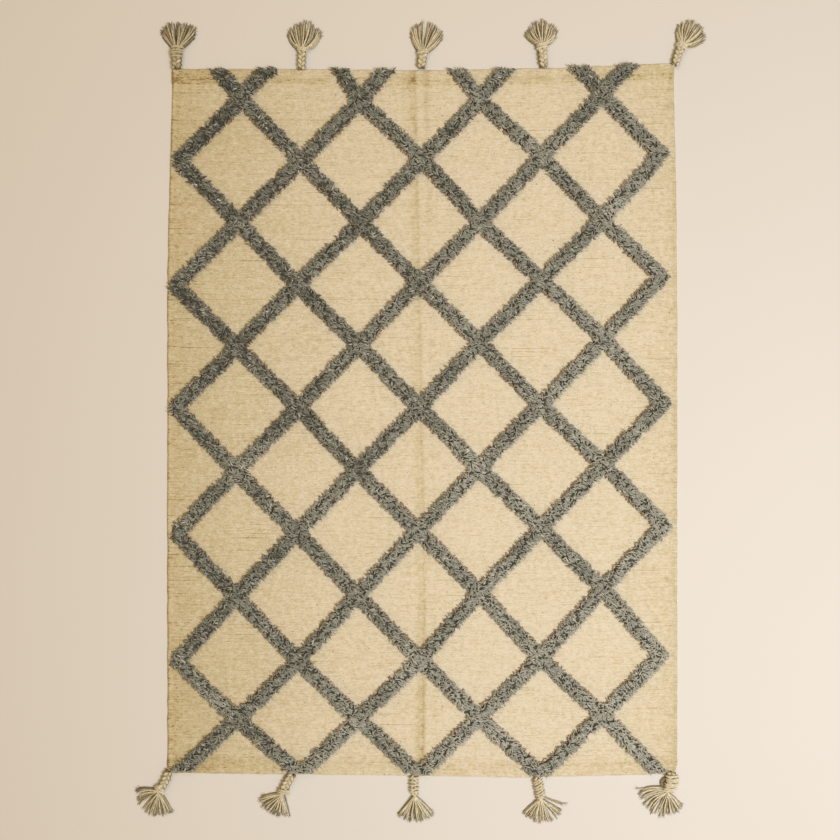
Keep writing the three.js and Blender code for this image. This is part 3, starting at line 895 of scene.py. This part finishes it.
# %% [markdown]
# ## The finish of the pile
# The yarn is spun from grey fleece and dyed unevenly, so one tuft is slate, the next is ash and a few are
# nearly white. Deep down it is painted nearly black as shade. On the short rim tufts that face the rug's
# middle the painted shade is warm, as of light reflected from the golden cloth, and reaches almost to their
# tips. A noise texture would stain neighbours alike. A number on each tuft's points sets its yarn apart, and
# two more say how high up the tuft a point is and whether the tuft gets the painted warm shade.

# %% Wool of the pile
YARNS = [
    (0.00, (0.080, 0.082, 0.066)),
    (0.18, (0.175, 0.180, 0.150)),
    (0.42, (0.300, 0.310, 0.266)),
    (0.70, (0.430, 0.440, 0.388)),
    (0.93, (0.560, 0.566, 0.502)),
    (1.00, (0.700, 0.700, 0.620)),
]
# Deep in the pile the yarn is painted dark as shade. On the short rim tufts this painted shade is warm, as of
# light reflected from the golden cloth.
ROOT_SHADE, ROOT_WARM_SHADE = (0.100, 0.096, 0.070), (0.430, 0.270, 0.130)
# How far up a tuft the shade reaches, and how much wide patches darken or brighten the yarn.
SHADED, UNSHADED = 0.05, 0.55
PATCHES = {"scale": 9.0, "least": 0.75, "more": 0.5}
FIBRES = {"scale": 700.0, "relief": 0.0006}
# The felt's colour is painted shade, nearly black, for the shade deep in the clefts.
CLEFT_SHADE = {"scale": 260.0, "dark": (0.060, 0.057, 0.046), "pale": (0.150, 0.143, 0.120)}
FELT_LUMPS = {"scale": 500.0, "relief": 0.0015}


def pile_wool():
    material, tree, shader = new_finish("pile_wool", roughness=0.95, sheen=0.10)
    yarn = ramp(tree, attribute(tree, "yarn"), YARNS)
    patches = maths(tree, "MULTIPLY_ADD", noise(tree, PATCHES["scale"]), PATCHES["more"], PATCHES["least"])
    toned = mixed(tree, 1.0, yarn, patches, blend="MULTIPLY")
    # Low on each tuft the yarn gives way to this painted shade.
    low = ramp(tree, attribute(tree, "along"), [(SHADED, (1, 1, 1)), (UNSHADED, (0, 0, 0))])
    root = mixed(tree, attribute(tree, "short_warm_shaded"), ROOT_SHADE, ROOT_WARM_SHADE)
    feed(tree, shader.inputs["Base Color"], mixed(tree, low, toned, root))
    raise_surface(tree, shader, noise(tree, FIBRES["scale"]), FIBRES["relief"])
    return material


def pile_base_shade():
    material, tree, shader = new_finish("pile_base_shade", roughness=1.0, sheen=0.0)
    shade = ramp(tree, noise(tree, CLEFT_SHADE["scale"]), [(0.35, CLEFT_SHADE["dark"]), (0.70, CLEFT_SHADE["pale"])])
    feed(tree, shader.inputs["Base Color"], shade)
    raise_surface(tree, shader, noise(tree, FELT_LUMPS["scale"]), FELT_LUMPS["relief"])
    return material


wool_of_pile, shade_of_base = pile_wool(), pile_base_shade()
print("nodes in the finish:", len(wool_of_pile.node_tree.nodes))

# %% Yarn of each tuft
TUFT_RADIUS = 0.0024
THICKNESS = (0.82, 1.16)
# How much a tuft's yarn differs: on the way across and along, which is painted light, paler to the right and
# lower down, where the stronger lamp stands; by itself (and more so to the upper left); in streaks; and in
# wider swells.
YARN_SHIFTS = {
    "middle": 0.48,
    "way": (0.22, -0.13),
    "own": 0.115,
    "own_way": (-0.35, 0.15),
    "streaks": 0.13,
    "swells": ((0.030, 0.08, 35), (0.120, 0.14, 36)),
}
# A few tufts are paler than all the others.
PALEST, FLECKS = 0.93, 0.012


def yarn_shades():
    """A number for each tuft, from slate at 0 to nearly white at 1."""
    own = YARN_SHIFTS["own"] * (1 + spots @ np.array(YARN_SHIFTS["own_way"])) * rng.normal(0, 1, len(spots))
    shades = YARN_SHIFTS["middle"] + spots @ np.array(YARN_SHIFTS["way"]) + own
    shades += YARN_SHIFTS["streaks"] * streaks_at(spots)
    for cell, shift, seed in YARN_SHIFTS["swells"]:
        shades += shift * wander(*spots.T, cell, seed)
    shades = np.clip(shades, 0, PALEST)
    flecks = rng.uniform(0, 1, len(spots)) < FLECKS
    shades[flecks] = rng.uniform(PALEST, 1.0, flecks.sum())
    return shades


radii = TUFT_RADIUS * rng.uniform(*THICKNESS, len(spots))
spins = rng.uniform(0, 2 * np.pi, len(spots))
yarns = yarn_shades()
print("yarn shades from", yarns.min().round(2), "to", yarns.max().round(2))

# %% Pile pieces
PILE_PIECES = 4
# On the short rim tufts the painted warm shade reaches almost to the tip, so this share of the height counts
# as low.
WARM_SHADE_HEIGHT = 0.3

order = np.argsort(-spots[:, 1], kind="stable")
for number, part in enumerate(np.array_split(order, PILE_PIECES), start=1):
    points, faces = tuft_mesh(spots[part], leans[part], heights[part], radii[part], spins[part])
    # These points get the painted warm shade.
    brown = spread_to_points(short_warm_shaded[part])
    along = np.tile(np.repeat(RING_SHARES, SIDES), len(part)) * np.where(brown, WARM_SHADE_HEIGHT, 1)
    add_piece(
        f"pile_tufts_{number}", points, faces, wool_of_pile,
        {"yarn": spread_to_points(yarns[part]), "along": along, "short_warm_shaded": brown},
    )

# %% [markdown]
# ## The ground of the pile
# Under the tufts the knots make a dense felt, which shows only in the clefts. Its colour is painted shade,
# nearly black, for the depth of the clefts. Leaving it out would let cream cloth shine through them. A copy of
# the imported solid would cut across the corners of the diamonds, so each line of a band gets a low strip of
# its own, a little narrower than the tufts' roots. The strips follow the lines as they stray and run into each
# other at the crossings.

# %% Pile base
# The corners of a strip's cross-section: how far each lies to the left of the line, and its share of height.
BASE_CORNERS = ((0.0168, 0.0), (0.0140, 1.0), (-0.0140, 1.0), (-0.0168, 0.0))
AROUND = len(BASE_CORNERS)
BASE_HEIGHT, BASE_DEPTH = 0.0052, 0.0005
BASE_STEP, BASE_INSET = 0.012, 0.007
FELT_RIM_CELL = 0.007
TOP_LUMPS = {"cell": 0.012, "size": 0.15}
# How far a strip runs on past the ends of its line: further at the turns on the right, which are pointed.
BASE_PAST = {"elsewhere": 0.004, "right_turn": 0.012}
RIGHT_TURNS = 0.68


def past_end(place):
    return BASE_PAST["right_turn" if place[0] > RIGHT_TURNS else "elsewhere"]


def felt_strip(start, end):
    """Points in rings of four around a low strip along one line, cut off at the cloth's ends."""
    length = np.linalg.norm(end - start)
    ahead = (end - start) / length
    aside = np.array([-ahead[1], ahead[0]])
    steps = math.ceil((length + past_end(start) + past_end(end)) / BASE_STEP)
    middles = start + np.linspace(-past_end(start), length + past_end(end), steps + 1)[:, None] * ahead
    strings = []
    for half, height in BASE_CORNERS:
        string = middles + half * aside
        ragged = math.copysign(RAGGED["size"], half) * wander(*string.T, FELT_RIM_CELL, 24)
        string = string + ragged[:, None] * aside
        string = 2 * string - strayed(string)
        rise = height * BASE_HEIGHT * (1 + TOP_LUMPS["size"] * wander(*string.T, TOP_LUMPS["cell"], 26))
        strings.append(np.column_stack([string, face_height(*string.T) + rise - BASE_DEPTH]))
    rings = np.stack(strings, 1)
    x, y = rings[:, :, 0], rings[:, :, 1]
    least, most = bottom_edge(x) + BASE_INSET, top_edge(x) - BASE_INSET
    inside = (y < most).any(1) & (y > least).any(1)
    rings[:, :, 1] = np.clip(y, least, most)
    return rings[inside].reshape(-1, 3)


def strip_faces(first, count):
    """The faces of one closed strip whose points start at first."""
    corner, last, faces = np.arange(AROUND), first + count - AROUND, []
    for ring in range(first, last, AROUND):
        onward = ring + (corner + 1) % AROUND
        faces += np.stack([ring + corner, onward, onward + AROUND, ring + corner + AROUND], 1).tolist()
    return [*faces, (first + corner[::-1]).tolist(), (last + corner).tolist()]


strips = [felt_strip(start, end) for start, end in zip(starts, ends)]
firsts = np.cumsum([0, *map(len, strips)])
faces = [face for first, strip in zip(firsts, strips) for face in strip_faces(first, len(strip))]
base = add_piece("pile_base", np.concatenate(strips), faces, shade_of_base)
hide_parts("pile_trellis")
print("strips of felt:", len(strips))

# %% [markdown]
# ## Yarn
# A tassel is made of one thing only, plied yarn: plaited for its neck, wound for its collar and cut for its
# skirt. Bevelled curves would give smooth round cords. Here a loft is used instead, because its cross-section
# can have two lobes that turn along the way, which is what a two-ply yarn looks like up close.

# %% Lofted yarn
def yarn_tube(path, across, radius, sides, lobes, relief, pitch):
    """A closed tube along a path. Its lobes make one turn in each pitch of length."""
    ahead = np.gradient(path, axis=0)
    steps = np.linalg.norm(np.diff(path, axis=0), axis=1)
    length = np.concatenate([[0], np.cumsum(steps)])
    ahead /= np.linalg.norm(ahead, axis=1, keepdims=True)
    across = across - (across * ahead).sum(1)[:, None] * ahead
    across /= np.linalg.norm(across, axis=1, keepdims=True)
    other = np.cross(ahead, across)
    angle = 2 * np.pi * np.arange(sides) / sides
    turned = angle[None, :] - 2 * np.pi * length[:, None] / pitch
    reach = np.broadcast_to(radius, len(path))[:, None] * (1 + relief * np.cos(lobes * turned))
    spoke = np.cos(angle)[None, :, None] * across[:, None] + np.sin(angle)[None, :, None] * other[:, None]
    points = (path[:, None] + reach[..., None] * spoke).reshape(-1, 3)
    walls = [
        (ring + side, ring + (side + 1) % sides, ring + sides + (side + 1) % sides, ring + sides + side)
        for ring in range(0, (len(path) - 1) * sides, sides)
        for side in range(sides)
    ]
    last = (len(path) - 1) * sides
    return points, [*walls, tuple(range(sides))[::-1], tuple(range(last, last + sides))]


def joined(tubes):
    """Many tubes as the arrays of one mesh."""
    points, faces, start = [], [], 0
    for tube_points, tube_faces in tubes:
        points.append(tube_points)
        faces += [tuple(start + corner for corner in face) for face in tube_faces]
        start += len(tube_points)
    return np.concatenate(points), faces


print("yarn helpers ready")

# %% [markdown]
# ## Where the tassels are
# Each tassel lies its own way, so a table says for each where its neck leaves the cloth and where the skirt
# begins, half the width of the neck and how far it bends aside, how it is wound, how far the strands bow out
# on the left and on the right, and how pale the yarn is. Five tips on the outline of the skirt run from left
# to right, and the first and the last are of the strands turned furthest back. Strays are single strands
# away from the skirt, and a tail is a loose end beside the neck.

# %% Tassel table
TASSELS = (
    {"name": "top_1", "root": (-0.727, 1.058), "knot": (-0.725, 1.119), "half": 0.0155, "bend": 0.0,
     "collar": {"from": 0.48, "wraps": 4, "tilt": 0.001}, "bow": (0.03, 0.03),
     "tips": ((-0.768, 1.147), (-0.773, 1.174), (-0.724, 1.192), (-0.672, 1.174), (-0.684, 1.138)),
     "tone": -0.22},
    {"name": "top_2", "root": (-0.354, 1.056), "knot": (-0.352, 1.115), "half": 0.0128, "bend": 0.0,
     "collar": {"from": 0.86, "wraps": 2, "tilt": 0.001}, "bow": (0.10, 0.14),
     "tips": ((-0.392, 1.146), (-0.395, 1.166), (-0.347, 1.197), (-0.296, 1.166), (-0.300, 1.146)),
     "tone": 0.02},
    {"name": "top_3", "root": (0.004, 1.060), "knot": (0.010, 1.108), "half": 0.0140, "bend": 0.0,
     "collar": {"from": 0.82, "wraps": 2, "tilt": -0.002}, "bow": (0.10, 0.04),
     "tips": ((-0.026, 1.150), (-0.024, 1.172), (0.012, 1.197), (0.066, 1.160), (0.066, 1.143)),
     "tone": 0.02},
    {"name": "top_4", "root": (0.370, 1.064), "knot": (0.364, 1.128), "half": 0.0142, "bend": 0.0,
     "collar": {"from": 0.78, "wraps": 3, "tilt": -0.001}, "bow": (0.05, 0.08),
     "tips": ((0.318, 1.148), (0.319, 1.165), (0.366, 1.199), (0.409, 1.172), (0.407, 1.148)),
     "tone": 0.08},
    {"name": "top_5", "root": (0.764, 1.069), "knot": (0.786, 1.130), "half": 0.0130, "bend": 0.002,
     "collar": {"from": 0.76, "wraps": 3, "tilt": 0.002}, "bow": (0.04, 0.10),
     "tips": ((0.767, 1.158), (0.769, 1.173), (0.811, 1.201), (0.852, 1.164), (0.848, 1.132)),
     "tone": 0.10},
    {"name": "bottom_1", "root": (-0.752, -1.050), "knot": (-0.779, -1.104), "half": 0.0132, "bend": 0.003,
     "collar": {"from": 0.80, "wraps": 2, "tilt": 0.003}, "bow": (0.08, 0.04),
     "tips": ((-0.838, -1.098), (-0.850, -1.112), (-0.808, -1.178), (-0.754, -1.172), (-0.742, -1.164)),
     "tone": 0.0},
    {"name": "bottom_2", "root": (-0.383, -1.058), "knot": (-0.408, -1.108), "half": 0.0138, "bend": -0.003,
     "collar": {"from": 0.84, "wraps": 2, "tilt": -0.005}, "bow": (0.05, 0.02),
     "tips": ((-0.466, -1.120), (-0.480, -1.132), (-0.442, -1.174), (-0.404, -1.178), (-0.400, -1.170)),
     "strays": ((-0.390, -1.181),), "tone": 0.02},
    {"name": "bottom_3", "root": (-0.018, -1.060), "knot": (-0.017, -1.112), "half": 0.0110, "bend": 0.0,
     "collar": {"from": 0.04, "wraps": 5, "tilt": 0.001}, "bow": (0.0, 0.03),
     "tips": ((-0.064, -1.174), (-0.060, -1.181), (-0.012, -1.197), (0.036, -1.180), (0.040, -1.170)),
     "tone": 0.05},
    {"name": "bottom_4", "root": (0.350, -1.062), "knot": (0.362, -1.122), "half": 0.0118, "bend": 0.0,
     "collar": {"from": 0.10, "wraps": 7, "tilt": -0.004}, "bow": (0.02, 0.02),
     "tips": ((0.312, -1.168), (0.315, -1.176), (0.363, -1.201), (0.415, -1.178), (0.422, -1.164)),
     "strays": ((0.435, -1.147), (0.425, -1.148)), "tone": 0.08},
    {"name": "bottom_5", "root": (0.752, -1.053), "knot": (0.741, -1.104), "half": 0.0160, "bend": 0.006,
     "collar": {"from": 0.06, "wraps": 7, "tilt": -0.003}, "bow": (0.12, 0.04),
     "tips": ((0.672, -1.096), (0.658, -1.116), (0.716, -1.182), (0.780, -1.158), (0.784, -1.148)),
     "strays": ((0.650, -1.100),), "tail": ((0.744, -1.066), (0.714, -1.074), (0.728, -1.094)), "tone": 0.16},
)
print("tassels:", len(TASSELS))

# %% [markdown]
# ## Neck and collar
# The neck is a plait of three bundles. Each bundle swings from side to side once while it rises and falls
# twice, a third of a turn behind the one before it, and that alone makes them pass over and under each other.
# A yarn is wound round the end of the plait as a collar, and on some tassels round the whole of it.

# %% Plait and winding
# A bundle is a share of the neck's half width, rises this high and swings once in the length of a turn. The
# plait starts a little before the neck, thin, and is soon full. Low in the hollows its tone is painted shade,
# full below the share of height dark and gone above pale.
PLAIT = {
    "bundle": 0.40, "rise": 0.0044, "turn": 0.040, "past": 0.07, "steps": 44, "thin": 0.75, "full": 0.15,
    "tones": (0.72, 0.86, 1.00), "dark": 0.55, "pale": 0.97,
}
PLAIT_YARN = {"sides": 14, "lobes": 3, "relief": 0.12, "pitch": 0.026}
# The wound yarn lies a little outside the neck, flattened, and goes a little past the knot.
# The wound yarn's tones are pale, partly as painted highlight where the wraps lie on top.
WRAP = {
    "out": 0.0008, "flat": 0.60, "past": 0.04, "steps_a_turn": 16, "radius": 0.0030, "lowest": 1.15,
    "uneven": 0.07, "beat": 0.37, "slip": 0.0008, "tones": (0.75, 0.95),
}
WRAP_YARN = {"sides": 8, "lobes": 2, "relief": 0.14, "pitch": 0.012}
# Where in its swing a wave may start, as an angle.
PHASES = (0, 6)
UP = np.array([0.0, 0.0, 1.0])


def frame_of(tassel):
    """The start and the end of the neck, the way ahead, the way to its left, and its length."""
    start, knot = np.array([*tassel["root"], 0.0]), np.array([*tassel["knot"], 0.0])
    length = np.linalg.norm(knot - start)
    ahead = (knot - start) / length
    return start, knot, ahead, np.cross(UP, ahead), length


def neck_line(tassel, share):
    """Points on the floor under the middle of the neck, which may bend to one side."""
    start, _, ahead, side, length = frame_of(tassel)
    bulge = tassel["bend"] * np.sin(np.pi * np.clip(share, 0, 1))
    return start + np.outer(share * length, ahead) + np.outer(bulge, side)


def plait(tassel, draws):
    """The three bundles of the neck, with numbers on their points that painted shade darkens in the hollows."""
    _, _, _, side, length = frame_of(tassel)
    share = np.linspace(-PLAIT["past"], 1.0, PLAIT["steps"])
    bundle = PLAIT["bundle"] * tassel["half"]
    radius = bundle * (PLAIT["thin"] + (1 - PLAIT["thin"]) * eased(share, -PLAIT["past"], PLAIT["full"]))
    across = np.tile(side, (len(share), 1))
    first = draws.uniform(0, 1)
    parts = []
    for number, tone in enumerate(PLAIT["tones"]):
        turn = 2 * np.pi * (share * length / PLAIT["turn"] + first + number / len(PLAIT["tones"]))
        path = neck_line(tassel, share) + np.outer((tassel["half"] - bundle) * np.sin(turn), side)
        path[:, 2] = bundle + PLAIT["rise"] * (1.0 + np.sin(2 * turn))
        tube = yarn_tube(path, across, radius, **PLAIT_YARN)
        # Painted shade: the lower a point lies, the darker its tone.
        height = tube[0][:, 2] / tube[0][:, 2].max()
        parts.append((tube, tone * eased(height, PLAIT["dark"], PLAIT["pale"])))
    return parts


def winding(tassel, draws):
    """The yarn that is wound round the neck, as the only part of a list."""
    _, _, ahead, side, _ = frame_of(tassel)
    collar, half = tassel["collar"], tassel["half"] + WRAP["out"]
    turn = np.linspace(0, 2 * np.pi * collar["wraps"], collar["wraps"] * WRAP["steps_a_turn"])
    share = collar["from"] + (1 + WRAP["past"] - collar["from"]) * turn / turn[-1]
    uneven = 1 + WRAP["uneven"] * np.sin(WRAP["beat"] * turn + draws.uniform(*PHASES))
    slip = WRAP["slip"] * np.sin(turn / 2 + draws.uniform(*PHASES))
    radial = np.outer(np.cos(turn), side) + np.outer(np.sin(turn), UP)
    path = neck_line(tassel, share) + np.outer(half * uneven * np.cos(turn), side)
    path = path + np.outer(collar["tilt"] * np.cos(turn) + slip, ahead)
    path[:, 2] = WRAP["flat"] * half * (1 + uneven * np.sin(turn)) + WRAP["radius"]
    path[:, 2] = np.maximum(path[:, 2], WRAP["lowest"] * WRAP["radius"])
    return [(yarn_tube(path, radial, WRAP["radius"], **WRAP_YARN), draws.uniform(*WRAP["tones"]))]


neck_lengths = [frame_of(tassel)[-1] for tassel in TASSELS]
print("necks from", min(neck_lengths).round(3), "to", max(neck_lengths).round(3))

# %% [markdown]
# ## Skirt
# The skirt's strands leave the collar as one bundle and fan out over the floor in four layers. The lowest are
# painted darkest, as shade under the layers above, and reach furthest back. A cloth or hair simulation would
# settle them, but it would also move them away from where they are known to lie. So each strand is one smooth
# bow from the collar to its own place on the outline, and its layer says how high it lies.

# %% Strands
# Strands differ in thickness, start a little way back inside the collar and wave a little from side to side.
STRAND = {
    "radius": 0.0021, "thickness": (0.85, 1.12), "steps": 15, "sunk": (0.000, 0.004), "width": 0.95,
    "wave": (0.0004, 0.0016), "beat": (3, 8), "spaced": 0.35,
}
STRAND_YARN = {"sides": 7, "lobes": 2, "relief": 0.18, "pitch": 0.014}
# How much thinner a strand is at its tip and at its root, and where on its way that starts or ends.
TAPER = {"tip": 0.35, "tip_from": 0.80, "root": 0.15, "root_until": 0.2}
# The tones of a layer hold painted shade: the lower it lies, the darker its strands.
LAYERS = (
    {"count": 15, "from": 0.00, "to": 1.00, "level": 0, "reach": (0.92, 1.02), "tones": (0.00, 0.25)},
    {"count": 14, "from": 0.03, "to": 0.97, "level": 1, "reach": (0.90, 1.01), "tones": (0.05, 0.60)},
    {"count": 11, "from": 0.08, "to": 0.92, "level": 2, "reach": (0.86, 1.00), "tones": (0.35, 1.00)},
    {"count": 7, "from": 0.16, "to": 0.86, "level": 3, "reach": (0.80, 0.97), "tones": (0.75, 1.00)},
)
# How high the strands lie: at the collar, and how much each level adds there, in the middle and at the end.
COLLAR_HEIGHT = 0.0045
LEVEL_STEP = {"start": 0.0040, "middle": 0.0036, "end": 0.0020}
LEVEL_LOOSE = {"middle": (0.0, 0.0010), "end": (0.6, 1.3)}
LEVEL_PLACES = (0, 0.35, 1)
TIP_PLACES = (0.0, 0.2, 0.5, 0.8, 1.0)
# From where to where across the skirt its bow on the left becomes the one on the right.
BOW_PLACES = (0.35, 0.65)
FRAY = {"fibres": 5, "length": (0.003, 0.010), "spread": 0.30, "aside": 0.6, "radius": 0.0006, "taper": 0.5}
FRAY_STEPS = 4


def tip_at(tassel, place):
    """The angle off the way ahead, and the reach from the knot, of a tip on the skirt's outline."""
    _, knot, ahead, side, _ = frame_of(tassel)
    offs = np.array([(*tip, 0.0) for tip in tassel["tips"]]) - knot
    angles, reaches = np.arctan2(offs @ side, offs @ ahead), np.linalg.norm(offs, axis=1)
    return np.interp(place, TIP_PLACES, angles), np.interp(place, TIP_PLACES, reaches)


def bowed(start, bend, end):
    """The shares of the way from start to end, and points at them on a smooth bow towards bend."""
    share = np.linspace(0, 1, STRAND["steps"])[:, None]
    return share[:, 0], (1 - share) ** 2 * start + 2 * share * (1 - share) * bend + share**2 * end


def frayed(path, radius, draws):
    """Loose fibres at the end of a strand."""
    last_step = np.linalg.norm(path[-1] - path[-2])
    way = (path[-1] - path[-2]) / last_step
    aside = np.array([-way[1], way[0], 0.0])
    across = np.tile(aside, (FRAY_STEPS, 1))
    share = np.linspace(0, 1, FRAY_STEPS)[:, None]
    thin = FRAY["radius"] * (1 - FRAY["taper"] * share[:, 0])
    fibres = []
    for turn in draws.normal(0, FRAY["spread"], FRAY["fibres"]):
        start = path[-2] + draws.uniform(-FRAY["aside"], FRAY["aside"]) * radius * aside
        towards = math.cos(turn) * way + math.sin(turn) * aside
        fibre = start + share * (last_step + draws.uniform(*FRAY["length"])) * towards
        fibre[:, 2] = np.maximum(fibre[:, 2], FRAY["radius"])
        fibres.append(yarn_tube(fibre, across, thin, sides=3, lobes=1, relief=0.0, pitch=1.0))
    return fibres


def strand(tassel, place, angle, reach, bow, level, draws):
    """One strand and the loose fibres at its end."""
    _, knot, ahead, side, _ = frame_of(tassel)
    way = math.cos(angle) * ahead + math.sin(angle) * side
    outward = math.copysign(1, angle) * (math.cos(angle) * side - math.sin(angle) * ahead)
    root = knot + STRAND["width"] * tassel["half"] * (1 - 2 * place) * side
    root = root - draws.uniform(*STRAND["sunk"]) * ahead
    tip = knot + reach * way
    bend = (root + tip) / 2 + 2 * bow * reach * min(abs(angle), 1.0) * outward
    share, path = bowed(root, bend, tip)
    size, beat, phase = draws.uniform(*STRAND["wave"]), draws.uniform(*STRAND["beat"]), draws.uniform(*PHASES)
    path = path + np.outer(size * np.sin(share * beat + phase) * share, side)
    radius = STRAND["radius"] * draws.uniform(*STRAND["thickness"])
    start = COLLAR_HEIGHT + level * LEVEL_STEP["start"]
    middle = radius + level * LEVEL_STEP["middle"] + draws.uniform(*LEVEL_LOOSE["middle"])
    end = radius + level * LEVEL_STEP["end"] * draws.uniform(*LEVEL_LOOSE["end"])
    path[:, 2] = np.interp(eased(share, 0, 1), LEVEL_PLACES, (start, middle, end))
    path[:, 2] = np.maximum(path[:, 2], radius * (1 + STRAND_YARN["relief"]))
    taper = 1 - TAPER["tip"] * eased(share, TAPER["tip_from"], 1.0)
    taper = taper - TAPER["root"] * (1 - eased(share, 0, TAPER["root_until"]))
    tube = yarn_tube(path, np.tile(side, (len(path), 1)), radius * taper, **STRAND_YARN)
    return [tube, *frayed(path, radius, draws)]


def skirt(tassel, draws):
    """All strands of the skirt, layer by layer from the floor up."""
    parts = []
    for layer in LAYERS:
        spacing = (layer["to"] - layer["from"]) / (layer["count"] - 1)
        for place in np.linspace(layer["from"], layer["to"], layer["count"]):
            place = place + draws.uniform(-STRAND["spaced"], STRAND["spaced"]) * spacing
            angle, reach = tip_at(tassel, place)
            bow = np.interp(place, BOW_PLACES, tassel["bow"])
            reach = reach * draws.uniform(*layer["reach"])
            tone = draws.uniform(*layer["tones"])
            tubes = strand(tassel, place, angle, reach, bow, layer["level"], draws)
            parts += [(tube, tone) for tube in tubes]
    return parts


print("strands in a skirt:", sum(layer["count"] for layer in LAYERS))

# %% Loose ends
STRAY_TONES = (0.2, 0.5)
# The tail's tone is the darkest, as painted shadow beside the neck on a real loose end.
TAIL = {"height": 0.0045, "radius": 0.0042, "tone": 0.0}
TAIL_YARN = {"sides": 10, "lobes": 3, "relief": 0.15, "pitch": 0.015}


def strays(tassel, draws):
    """Single strands that strayed from the skirt."""
    _, knot, ahead, side, _ = frame_of(tassel)
    parts = []
    for stray in tassel.get("strays", ()):
        off = np.array([*stray, 0.0]) - knot
        angle, reach = math.atan2(off @ side, off @ ahead), np.linalg.norm(off)
        tone = draws.uniform(*STRAY_TONES)
        parts += [(tube, tone) for tube in strand(tassel, 0.5, angle, reach, 0.0, 0, draws)]
    return parts


def tail(tassel):
    """The loose end beside the neck, where there is one, painted dark as shadow."""
    if "tail" not in tassel:
        return []
    _, path = bowed(*(np.array([*point, TAIL["height"]]) for point in tassel["tail"]))
    return [(yarn_tube(path, np.tile(UP, (len(path), 1)), TAIL["radius"], **TAIL_YARN), TAIL["tone"])]


print("strays:", sum(len(tassel.get("strays", ())) for tassel in TASSELS))

# %% [markdown]
# ## The finish of the tassels
# The tassels are tied from undyed yarn, between straw and olive, that has greyed in use. Each strand has its
# own number again, and the lower its layer, the darker the number, as painted shade under the strands above,
# so that pale strands lie over darker ones.

# %% Wool of the tassels
TASSEL_YARNS = [
    (0.00, (0.200, 0.160, 0.075)),
    (0.45, (0.530, 0.470, 0.295)),
    (1.00, (0.860, 0.810, 0.640)),
]
# Places in a pattern of noise, and how much they darken the yarn.
STAINS = [(0.35, (0.72, 0.70, 0.66)), (0.65, (1.0, 1.0, 1.0))]
STAIN_SCALE = 160.0
TASSEL_FIBRES = {"scale": 1400.0, "relief": 0.0005}


def tassel_wool():
    material, tree, shader = new_finish("tassel_yarn", roughness=0.95, sheen=0.12)
    yarn = ramp(tree, attribute(tree, "yarn"), TASSEL_YARNS)
    stain = ramp(tree, noise(tree, STAIN_SCALE, detail=3.0), STAINS)
    feed(tree, shader.inputs["Base Color"], mixed(tree, 1.0, yarn, stain, blend="MULTIPLY"))
    raise_surface(tree, shader, noise(tree, TASSEL_FIBRES["scale"]), TASSEL_FIBRES["relief"])
    return material


wool_of_tassels = tassel_wool()
print("nodes in the finish:", len(wool_of_tassels.node_tree.nodes))

# %% Tassel pieces
FIRST_SEED = 500

for number, tassel in enumerate(TASSELS):
    draws = np.random.default_rng(FIRST_SEED + number)
    parts = plait(tassel, draws) + winding(tassel, draws) + skirt(tassel, draws)
    parts += strays(tassel, draws) + tail(tassel)
    tones = np.concatenate([np.broadcast_to(tone, len(tube[0])) for tube, tone in parts])
    tones = np.clip(tones + tassel["tone"], 0, 1)
    points, faces = joined([tube for tube, _ in parts])
    name = "tassel_" + tassel["name"]
    piece = add_piece(name + "_yarn", points, faces, wool_of_tassels, {"yarn": tones})
    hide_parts(name)

# %% [markdown]

# %% [markdown]
# ## Floor and light
# The rug lies on a plain pale floor. One lamp could light it, but wool looks hard in a single light. Two wide
# soft lamps stand off to the sides: the stronger one to the right and below the middle, a weaker one past
# the top end. A warm dim sky fills the rest. So the left side is a little darker, and shadows stay soft.

# %% Floor
FLOOR_HALF, FLOOR_BELOW = 6.0, 0.0002
FLOOR_COLOUR = (0.760, 0.750, 0.740)
FLOOR_SHADE, FLOOR_PATCHES = 0.99, 1.5


def floor_finish():
    material, tree, shader = new_finish("floor", roughness=0.9, sheen=0.0)
    darker = tuple(FLOOR_SHADE * part for part in FLOOR_COLOUR)
    shade = ramp(tree, noise(tree, FLOOR_PATCHES), [(0.3, darker), (0.7, FLOOR_COLOUR)])
    feed(tree, shader.inputs["Base Color"], shade)
    return material


corners = [(x * FLOOR_HALF, y * FLOOR_HALF, -FLOOR_BELOW) for x, y in ((-1, -1), (1, -1), (1, 1), (-1, 1))]
floor = add_object("floor", corners, [(0, 1, 2, 3)], floor_finish())
print("floor, metres wide:", 2 * FLOOR_HALF)

# %% Light
LAMPS = (
    {"name": "right", "place": (2.2, -1.2, 4.6), "size": 1.7, "power": 189.0, "colour": (0.88, 0.93, 1.0)},
    {"name": "top", "place": (-1.0, 3.4, 4.4), "size": 1.5, "power": 30.0, "colour": (1.0, 0.95, 0.88)},
)
SKY = {"colour": (1.0, 0.674, 0.272), "strength": 0.46}

for lamp in LAMPS:
    light = bpy.data.lights.new(lamp["name"], "AREA")
    light.energy = lamp["power"]
    light.size = lamp["size"]
    light.color = lamp["colour"]
    holder = bpy.data.objects.new(lamp["name"], light)
    holder.location = lamp["place"]
    towards = -holder.location
    holder.rotation_euler = towards.to_track_quat("-Z", "Y").to_euler()
    bpy.context.scene.collection.objects.link(holder)
sky = bpy.data.worlds.new("sky")
sky.use_nodes = True
sky.node_tree.nodes["Background"].inputs["Color"].default_value = (*SKY["colour"], 1.0)
sky.node_tree.nodes["Background"].inputs["Strength"].default_value = SKY["strength"]
bpy.context.scene.world = sky
bpy.context.scene.view_settings.view_transform = "Standard"
print("lamps:", [lamp["name"] for lamp in LAMPS])
